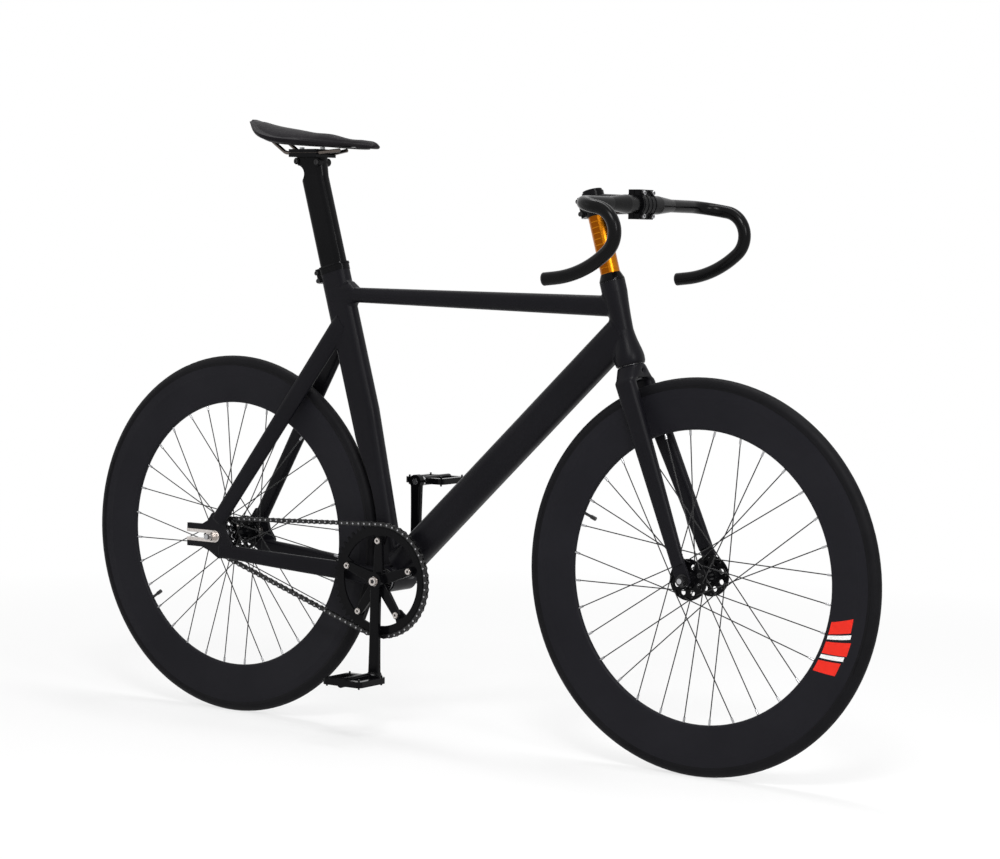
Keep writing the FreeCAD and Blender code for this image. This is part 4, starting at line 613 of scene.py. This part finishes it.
def frame_fillets():
    """Fillets of the frame's joints, with a hem that sinks into the tubes."""
    source = merged_nodes(FILLET_TUBES)
    solid = BVHTree.FromBMesh(source)
    skin = voxel_skin("frame_fillets", source, FILLET_VOXEL)
    smooth_points(skin, FILLET_SMOOTHING)
    skin.normal_update()
    core = set()
    for vert in skin.verts:
        spot, normal, _, distance = solid.find_nearest(vert.co)
        if distance < FILLET_LEAST_HEIGHT or (vert.co - spot).dot(normal) < 0.0:
            continue
        hit = solid.ray_cast(vert.co + vert.normal * FILLET_RAY_START, vert.normal, FILLET_OPEN_REACH)
        if hit[0] is None:
            core.add(vert)
    kept = grown(core, FILLET_HEM_RINGS)
    bmesh.ops.delete(skin, geom=[vert for vert in skin.verts if vert not in kept], context="VERTS")
    for vert in skin.verts:
        if vert not in core:
            spot, normal, _, _ = solid.find_nearest(vert.co)
            vert.co = spot - normal * (FILLET_EDGE_SINK if vert.is_boundary else FILLET_HEM_SINK)
    piece("frame_fillets", skin, "frame", "frame_paint")


# Saddle

SADDLE_VOXEL = 0.0024
SADDLE_SMOOTHING = 3
SADDLE_SNUG = 0.75
SADDLE_INSET = 0.0004
SADDLE_HALF_WIDTH = 0.058
SADDLE_WING_DROP = 0.013
SADDLE_DROP_LIMIT = 0.45
SADDLE_BASE_COVER = 0.0016
SADDLE_LEAST_THICKNESS = 0.0001
ABOVE_SADDLE = 1.3
BELOW_SADDLE = 0.9
SADDLE_TAIL = -0.4568
TAIL_LENGTH = 0.05
TAIL_HALF_WIDTH = 0.03
TAIL_ROUNDING = 0.010
TAIL_PULL = 0.014
TAIL_NARROWING = 0.22
CLOTH_QUALITY = 6
CLOTH_PRESSURE = 4.0
CLOTH_STEPS = 20
CLOTH_MOVE_LIMIT = 0.0008


def shaped_saddle():
    """Skin over the saddle cover, with dropped wings and a rounded, narrower tail."""
    source = merged_nodes(["saddle_cover"])
    bmesh.ops.recalc_face_normals(source, faces=source.faces)
    cover = BVHTree.FromBMesh(source)
    skin = voxel_skin("saddle_pad", source, SADDLE_VOXEL)
    smooth_points(skin, SADDLE_SMOOTHING)
    skin.normal_update()
    for vert in skin.verts:
        spot = cover.find_nearest(vert.co)[0]
        vert.co = vert.co.lerp(spot, SADDLE_SNUG) - vert.normal * SADDLE_INSET
        above = cover.ray_cast(Vector((vert.co.x, vert.co.y, ABOVE_SADDLE)), -Z_AXIS)[0]
        below = cover.ray_cast(Vector((vert.co.x, vert.co.y, BELOW_SADDLE)), Z_AXIS)[0]
        if above is not None and below is not None:
            thick = max(above.z - below.z, SADDLE_LEAST_THICKNESS)
            share = unit_share((vert.co.z - below.z) / thick)
            drop = SADDLE_WING_DROP * (vert.co.y / SADDLE_HALF_WIDTH) ** 2
            vert.co.z -= min(drop, thick * SADDLE_DROP_LIMIT) * share
        if vert.normal.z < 0.0:
            vert.co.z += SADDLE_BASE_COVER * vert.normal.z
        tail = unit_share((SADDLE_TAIL + TAIL_LENGTH - vert.co.x) / TAIL_LENGTH)
        rounding = min((vert.co.y / TAIL_HALF_WIDTH) ** 2, 1.0)
        vert.co.x += (TAIL_ROUNDING * rounding - TAIL_PULL) * tail * tail
        vert.co.y *= 1.0 - TAIL_NARROWING * tail * tail
    return skin


def swelled_mesh(pad):
    """Mesh of the pad after a pressure cloth has stretched its skin, each point's move limited."""
    rest = [vert.co.copy() for vert in pad.data.vertices]
    cloth = pad.modifiers.new("stretch", "CLOTH")
    cloth.settings.quality = CLOTH_QUALITY
    cloth.settings.use_pressure = True
    cloth.settings.uniform_pressure_force = CLOTH_PRESSURE
    cloth.settings.effector_weights.gravity = 0.0
    cloth.collision_settings.use_collision = False
    scene = bpy.context.scene
    for step in range(1, CLOTH_STEPS + 1):
        scene.frame_set(step)
    mesh = evaluated_mesh(pad)
    scene.frame_set(1)
    pad.modifiers.clear()
    for vert, place in zip(mesh.vertices, rest):
        move = vert.co - place
        if move.length > CLOTH_MOVE_LIMIT:
            vert.co = place + move.normalized() * CLOTH_MOVE_LIMIT
    return mesh


def saddle_pad():
    """Foam saddle under a stretched skin."""
    pad = temporary_object("saddle_pad_cloth", shaped_saddle())
    mesh = swelled_mesh(pad)
    bpy.data.objects.remove(pad)
    for polygon in mesh.polygons:
        polygon.use_smooth = True
    mesh.name = "saddle_pad"
    made = piece_from_mesh("saddle_pad", mesh, "seatpost_set", "saddle_skin")
    finer = made.modifiers.new("finer", "SUBSURF")
    finer.levels = 1
    finer.render_levels = 1
    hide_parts("saddle_cover")


# Wheels

SPOKE_HOLE_INSET = 0.0045
ELBOW_GAP = 0.0008
SHANK_FLARE = 1.15
ELBOW_SWELL = 1.2
BUTTON_SWELL = 2.0
BUTTON_FLATNESS = 0.55
TYRE_LINE_RISE = 0.0042
TYRE_LINE_SIDE = 0.01235
TYRE_LINE_RADIUS = 0.0004
TYRE_LINE_SIDES = 6
TYRE_LINE_STEPS = 144

# Finish, first angle and width in degrees, inner and outer radius of each bar on the rim
RIM_BARS = (
    ("film_red", -11.5, 4.6, 0.256, 0.296),
    ("film_white", -16.6, 1.5, 0.256, 0.298),
    ("film_red", -19.0, 4.6, 0.256, 0.301),
    ("film_white", -24.1, 1.5, 0.256, 0.298),
    ("film_red", -26.5, 4.6, 0.256, 0.296),
)
BAR_SLANT = 3.4
BAR_COLUMNS = 10
BAR_ROWS = 6
FILM_AIM = -0.03
FILM_LIFT = 0.00012


def wheel_spot(axle, radius, angle, side):
    return axle + Vector((radius * math.cos(angle), side, radius * math.sin(angle)))


def spoke_heads(wheel):
    """Elbow and button head of every spoke where it passes through its flange."""
    hub = HUBS[wheel]
    shape = bmesh.new()
    step = FULL_TURN / SPOKES_PER_SIDE
    hole_circle = hub["flange"] - SPOKE_HOLE_INSET
    reach = FLANGE_THICKNESS / 2 + SPOKE_RADIUS
    out = reach + ELBOW_GAP
    for side in (-1, 1):
        for index in range(SPOKES_PER_SIDE):
            leading = index % 2 == 0
            angle = step * index + step / 4 * side
            spoke_y = side * (hub["offset"] + (out if leading else -out))
            head_y = side * (hub["offset"] - (reach if leading else -reach))
            start = wheel_spot(hub["axle"], hole_circle, angle, spoke_y)
            end = wheel_spot(hub["axle"], hole_circle, angle, head_y)
            way = (end - start).normalized()
            shank = Matrix.Translation((start + end) / 2) @ along(way)
            bmesh.ops.create_cone(shape, cap_ends=True, segments=8, radius1=SPOKE_RADIUS * SHANK_FLARE,
                                  radius2=SPOKE_RADIUS, depth=(end - start).length, matrix=shank)
            bmesh.ops.create_icosphere(shape, subdivisions=1, radius=SPOKE_RADIUS * ELBOW_SWELL,
                                       matrix=Matrix.Translation(start))
            flatten = Matrix.Diagonal((1.0, 1.0, BUTTON_FLATNESS, 1.0))
            button = Matrix.Translation(end) @ along(way) @ flatten
            bmesh.ops.create_uvsphere(shape, u_segments=8, v_segments=5, radius=SPOKE_RADIUS * BUTTON_SWELL,
                                      matrix=button)
    piece(wheel + "_spoke_heads", shape, hub["body"], "black_steel")


def tyre_lines(wheel):
    """Moulded line round each side wall, just above the rim."""
    hub = HUBS[wheel]
    axle = hub["axle"]
    shape = bmesh.new()
    for side in (-1, 1):
        start = axle + Vector((TYRE_SEAT_RADIUS + TYRE_LINE_RISE, side * TYRE_LINE_SIDE, 0.0))
        circle = bmesh.ops.create_circle(shape, cap_ends=False, segments=TYRE_LINE_SIDES,
                                         radius=TYRE_LINE_RADIUS, matrix=Matrix.Translation(start))
        edges = {edge for vert in circle["verts"] for edge in vert.link_edges}
        bmesh.ops.spin(shape, geom=list(circle["verts"]) + list(edges), cent=axle, axis=Y_AXIS,
                       angle=FULL_TURN, steps=TYRE_LINE_STEPS, use_merge=True)
    piece(wheel + "_tyre_lines", shape, hub["body"], wheel + "_tyre_rubber")


def rim_film():
    """Slanted red and white bars on the right side of the front rim."""
    surface = bmesh.new()
    surface.from_mesh(nodes["front_rim"].data)
    rim = BVHTree.FromBMesh(surface)
    surface.free()
    for finish in FILM_TONES:
        shape = bmesh.new()
        for tone, first, width, inner, outer in RIM_BARS:
            if tone != finish:
                continue
            grid = bmesh.ops.create_grid(shape, x_segments=BAR_COLUMNS, y_segments=BAR_ROWS, size=0.5)
            for vert in grid["verts"]:
                share = vert.co.x + 0.5
                across = vert.co.y + 0.5
                radius = inner + (outer - inner) * share
                angle = math.radians(first - width * across + BAR_SLANT * share)
                spot, normal, _, _ = rim.ray_cast(wheel_spot(FRONT_AXLE, radius, angle, FILM_AIM), Y_AXIS)
                vert.co = spot + normal * FILM_LIFT
        piece("rim_" + finish, shape, "front_wheel", finish)


# Drive

PIN_END_RADIUS = PIN_RADIUS * 0.9
PIN_END_HEIGHT = 0.0006
OUTER_LINK_SLACK = 0.0008


def chain_pins():
    """Bright riveted pin ends on both faces of every outer link."""
    links = node_solids("chain")
    boxes = [span(link) for link in links]
    widest = max(high.y - low.y for low, high in boxes)
    shape = bmesh.new()
    for link, (low, high) in zip(links, boxes):
        if high.y - low.y < widest - OUTER_LINK_SLACK:
            continue
        middle = sum(link, Vector()) / len(link)
        far = max(link, key=lambda spot: (spot.x - middle.x) ** 2 + (spot.z - middle.z) ** 2)
        near = max(link, key=lambda spot: (spot.x - far.x) ** 2 + (spot.z - far.z) ** 2)
        way = Vector((far.x - near.x, 0.0, far.z - near.z)).normalized()
        centre = (far + near) / 2
        for end in (-1, 1):
            for face in (low.y, high.y):
                spot = Vector((centre.x, face, centre.z)) + way * (end * CHAIN_PITCH / 2)
                bmesh.ops.create_cone(shape, cap_ends=True, segments=10, radius1=PIN_END_RADIUS,
                                      radius2=PIN_END_RADIUS, depth=PIN_END_HEIGHT,
                                      matrix=Matrix.Translation(spot) @ along(Y_AXIS))
    piece("chain_pin_ends", shape, "frame", "steel", smooth=False)


# Bar clamp

# Sideways places as shares of the clamp's half width
RIB_PLACES = (-0.82, -0.28, 0.28, 0.82)
RIB_RADIUS = 0.0012
RIB_START = math.radians(24.0)
RIB_SWEEP = math.radians(132.0)
RIB_STEPS = 24


def clamp_ribs():
    """Raised ribs round the front of the bar clamp."""
    shape = bmesh.new()
    upright = Matrix.Rotation(math.pi / 2, 4, "Y")
    turn = Matrix.Rotation(RIB_START, 4, "Y")
    for side in RIB_PLACES:
        start = BAR_CENTRE + Vector((0.0, side * CLAMP_HALF_WIDTH, CLAMP_RADIUS))
        ring = bmesh.ops.create_circle(shape, cap_ends=True, segments=10, radius=RIB_RADIUS,
                                       matrix=Matrix.Translation(start) @ upright)
        bmesh.ops.rotate(shape, verts=ring["verts"], cent=BAR_CENTRE, matrix=turn)
        face = [made for made in shape.faces if all(vert in ring["verts"] for vert in made.verts)]
        bmesh.ops.spin(shape, geom=face, cent=BAR_CENTRE, axis=Y_AXIS, angle=RIB_SWEEP, steps=RIB_STEPS)
    piece("clamp_ribs", shape, "steering_set", "gloss_black")


# Bolts

CAP_HEIGHT = 0.0018
CAP_TAPER = 0.92
CAP_RIM_SHARE = 0.25
SOCKET_DEPTH_SHARE = 0.75
# Place and thickness of the dark disc that paints the shade inside each socket
SHADE_DISC_SHARE = 0.27
SHADE_DISC_THICKNESS = 0.0001

# Cap radius and key size
CHAINRING_BOLT = (0.0053, 0.005)
CRANK_BOLT = (0.0078, 0.008)
BAR_BOLT = (0.0039, 0.004)

# Distance ahead of the post's head, radius and rise of each barrel
BARRELS = ((0.0235, 0.0075, 0.0), (-0.0235, 0.0062, 0.002))
BARREL_LENGTH = 0.034
BARREL_CAP_SHARE = 0.7
BARREL_KEY_SHARE = 0.75


def socket_cap(shape, face, way, radius, flats):
    """Bolt head cap, seated on a face, with a six-sided socket; gives the place for the dark disc of painted
    shade just above the socket's floor.
    """
    place = Matrix.Translation(face + way * (CAP_HEIGHT / 2)) @ along(way)
    ring = bmesh.ops.create_cone(shape, cap_ends=True, segments=24, radius1=radius, radius2=radius * CAP_TAPER,
                                 depth=CAP_HEIGHT, matrix=place)
    faces = {made for vert in ring["verts"] for made in vert.link_faces}
    top = max(faces, key=lambda made: made.calc_center_median().dot(way))
    bmesh.ops.inset_region(shape, faces=[top], thickness=radius * CAP_RIM_SHARE, use_even_offset=True)
    inverse = place.inverted()
    for vert in top.verts:
        spot = inverse @ vert.co
        turn = math.atan2(spot.y, spot.x) % (math.pi / 3)
        reach = flats / 2 / math.cos(turn - math.pi / 6)
        flat = Vector((spot.x, spot.y, 0.0)).normalized() * reach
        vert.co = place @ Vector((flat.x, flat.y, spot.z))
    floor = bmesh.ops.extrude_discrete_faces(shape, faces=[top])["faces"][0]
    bmesh.ops.translate(shape, verts=floor.verts[:], vec=way * (-SOCKET_DEPTH_SHARE * CAP_HEIGHT))
    return face + way * (SHADE_DISC_SHARE * CAP_HEIGHT)


def bolt_caps(name, places, body, finish):
    """Socket caps on a group of bolts, each with a dark six-sided disc on the socket floor as painted shade:
    each place is a face, its outward way, a radius and a key size.
    """
    caps = bmesh.new()
    shade_discs = bmesh.new()
    for face, way, radius, flats in places:
        spot = socket_cap(caps, face, way, radius, flats)
        # Painted shade: a thin dark disc at the bottom of the socket stands in for the shade inside it
        bmesh.ops.create_cone(shade_discs, cap_ends=True, segments=6, radius1=flats / 2, radius2=flats / 2,
                              depth=SHADE_DISC_THICKNESS, matrix=Matrix.Translation(spot) @ along(way))
    piece(name + "_caps", caps, body, finish, crease=FLAT_CREASE)
    piece(name + "_socket_shade", shade_discs, body, "black_steel", smooth=False)


def all_bolt_caps():
    """Socket caps on the chainring, crank and bar clamp bolts, with painted-shade discs in their sockets."""
    drive_places = []
    for solid in node_solids("chainring_bolts"):
        low, high = span(solid)
        middle = (low + high) / 2
        drive_places.append((Vector((middle.x, low.y, middle.z)), -Y_AXIS, *CHAINRING_BOLT))
    for solid in node_solids("crank_bolts"):
        low, high = span(solid)
        middle = (low + high) / 2
        right = middle.y < 0.0
        face = Vector((middle.x, low.y if right else high.y, middle.z))
        drive_places.append((face, -Y_AXIS if right else Y_AXIS, *CRANK_BOLT))
    bolt_caps("drive_bolt", drive_places, "crank_set", "polished_alloy")
    bar_places = []
    for solid in node_solids("stem_bolts"):
        low, high = span(solid)
        if high.x - low.x > high.y - low.y:
            face = Vector((high.x, (low.y + high.y) / 2, (low.z + high.z) / 2))
            bar_places.append((face, X_AXIS, *BAR_BOLT))
    bolt_caps("bar_bolt", bar_places, "steering_set", "steel")


def post_barrels():
    """Cross barrels under the saddle clamp that take its bolts."""
    shape = bmesh.new()
    ends = []
    for ahead, radius, rise in BARRELS:
        middle = POST_HEAD + Vector((ahead, 0.0, rise))
        bmesh.ops.create_cone(shape, cap_ends=True, segments=32, radius1=radius, radius2=radius,
                              depth=BARREL_LENGTH, matrix=Matrix.Translation(middle) @ along(Y_AXIS))
        for side in (-1, 1):
            face = middle + Y_AXIS * (side * BARREL_LENGTH / 2)
            ends.append((face, Y_AXIS * side, radius * BARREL_CAP_SHARE, radius * BARREL_KEY_SHARE))
    piece("post_barrels", shape, "seatpost_set", "gloss_black", crease=FLAT_CREASE)
    # Socket caps on the barrel ends, with painted-shade discs in their sockets
    bolt_caps("post_barrel", ends, "seatpost_set", "black_steel")


# Stage

FLOOR_RADIUS = 60.0
FLOOR_TONE = (0.9, 0.9, 0.9)
WORLD_LIGHT = 0.38

# Name, place, target, width and height, power
LIGHTS = (
    ("key", (1.7, -2.5, 3.1), (0.1, 0.0, 0.55), (1.0, 0.7), 75.0),
    ("side", (3.4, -1.6, 2.0), (0.2, 0.0, 0.5), (0.9, 1.2), 42.0),
    ("rear", (-3.0, -2.2, 1.9), (-0.1, 0.0, 0.5), (1.4, 1.6), 6.0),
    ("top", (0.2, 0.6, 3.6), (0.0, 0.0, 0.4), (3.2, 0.6), 62.0),
)

CAMERA_AZIMUTH = math.radians(34.336)
CAMERA_ELEVATION = math.radians(3.827)
CAMERA_ROLL = math.radians(0.969)
CAMERA_TARGET = Vector((0.095223, 0.0, 0.563651))
CAMERA_DISTANCE = 4.6725
CAMERA_LENS = 95.835
CAMERA_SENSOR = 36.0
CAMERA_CLIP = (0.1, 200.0)


def coloured_node(tree, kind, colour):
    made = tree.nodes.new(kind)
    made.inputs["Color"].default_value = (*colour, 1.0)
    return made


def seen_rays(tree):
    """1 for what the camera sees, straight, mirrored or through glass; 0 for light on the object."""
    rays = tree.nodes.new("ShaderNodeLightPath")
    seen = math_node(tree, "MAXIMUM", rays.outputs["Is Camera Ray"], rays.outputs["Is Glossy Ray"])
    return math_node(tree, "MAXIMUM", seen, rays.outputs["Is Transmission Ray"])


def mixed_surface(tree, share, first, second, output):
    mix = tree.nodes.new("ShaderNodeMixShader")
    tree.links.new(share, mix.inputs["Fac"])
    tree.links.new(first.outputs[0], mix.inputs[1])
    tree.links.new(second.outputs[0], mix.inputs[2])
    tree.links.new(mix.outputs[0], output.inputs["Surface"])


def white_floor():
    """Pale round floor that fades to plain white away from the object."""
    shape = bmesh.new()
    bmesh.ops.create_circle(shape, cap_ends=True, segments=96, radius=FLOOR_RADIUS)
    floor = temporary_object("floor", shape)
    material = bpy.data.materials.new("floor_white")
    material.use_nodes = True
    tree = material.node_tree
    tree.nodes.clear()
    output = tree.nodes.new("ShaderNodeOutputMaterial")
    diffuse = coloured_node(tree, "ShaderNodeBsdfDiffuse", FLOOR_TONE)
    glow = coloured_node(tree, "ShaderNodeEmission", WHITE)
    distance = tree.nodes.new("ShaderNodeVectorMath")
    distance.operation = "LENGTH"
    tree.links.new(object_place(tree), distance.inputs[0])
    fade = spread(tree, distance.outputs["Value"], low=0.7, high=1.0, from_low=0.9, from_high=2.6)
    mixed_surface(tree, math_node(tree, "MULTIPLY", seen_rays(tree), fade), diffuse, glow, output)
    floor.data.materials.append(material)


def studio_world():
    """Soft light from all round, seen as plain white."""
    world = bpy.data.worlds.new("studio")
    bpy.context.scene.world = world
    world.use_nodes = True
    tree = world.node_tree
    tree.nodes.clear()
    output = tree.nodes.new("ShaderNodeOutputWorld")
    light = coloured_node(tree, "ShaderNodeBackground", WHITE)
    light.inputs["Strength"].default_value = WORLD_LIGHT
    white = coloured_node(tree, "ShaderNodeBackground", WHITE)
    white.inputs["Strength"].default_value = 1.0
    mixed_surface(tree, seen_rays(tree), light, white, output)


def soft_light(name, place, target, size, power):
    data = bpy.data.lights.new(name, "AREA")
    data.shape = "RECTANGLE"
    data.size = size[0]
    data.size_y = size[1]
    data.energy = power
    made = bpy.data.objects.new(name, data)
    made.location = place
    made.rotation_euler = (Vector(target) - Vector(place)).to_track_quat("-Z", "Y").to_euler()
    bpy.context.scene.collection.objects.link(made)


def camera():
    """Camera at the photograph's viewing angle."""
    back = Vector((math.sin(CAMERA_AZIMUTH) * math.cos(CAMERA_ELEVATION),
                   -math.cos(CAMERA_AZIMUTH) * math.cos(CAMERA_ELEVATION),
                   math.sin(CAMERA_ELEVATION)))
    right = Vector((math.cos(CAMERA_AZIMUTH), math.sin(CAMERA_AZIMUTH), 0.0))
    up = back.cross(right)
    side = right * math.cos(CAMERA_ROLL) + up * math.sin(CAMERA_ROLL)
    top = up * math.cos(CAMERA_ROLL) - right * math.sin(CAMERA_ROLL)
    place = CAMERA_TARGET + back * CAMERA_DISTANCE
    data = bpy.data.cameras.new("camera")
    data.sensor_width = CAMERA_SENSOR
    data.lens = CAMERA_LENS
    data.clip_start, data.clip_end = CAMERA_CLIP
    made = bpy.data.objects.new("camera", data)
    made.matrix_world = Matrix((
        (side.x, top.x, back.x, place.x),
        (side.y, top.y, back.y, place.y),
        (side.z, top.z, back.z, place.z),
        (0.0, 0.0, 0.0, 1.0),
    ))
    bpy.context.scene.collection.objects.link(made)
    bpy.context.scene.camera = made


finish_nodes()
saddle_pad()
deep_seatstays()
head_bulge()
collar_lip()
fork_body()
frame_fillets()
for wheel_name in HUBS:
    spoke_heads(wheel_name)
    tyre_lines(wheel_name)
rim_film()
chain_pins()
clamp_ribs()
all_bolt_caps()
post_barrels()

white_floor()
studio_world()
for lamp in LIGHTS:
    soft_light(*lamp)
camera()
bpy.context.scene.view_settings.view_transform = "Standard"
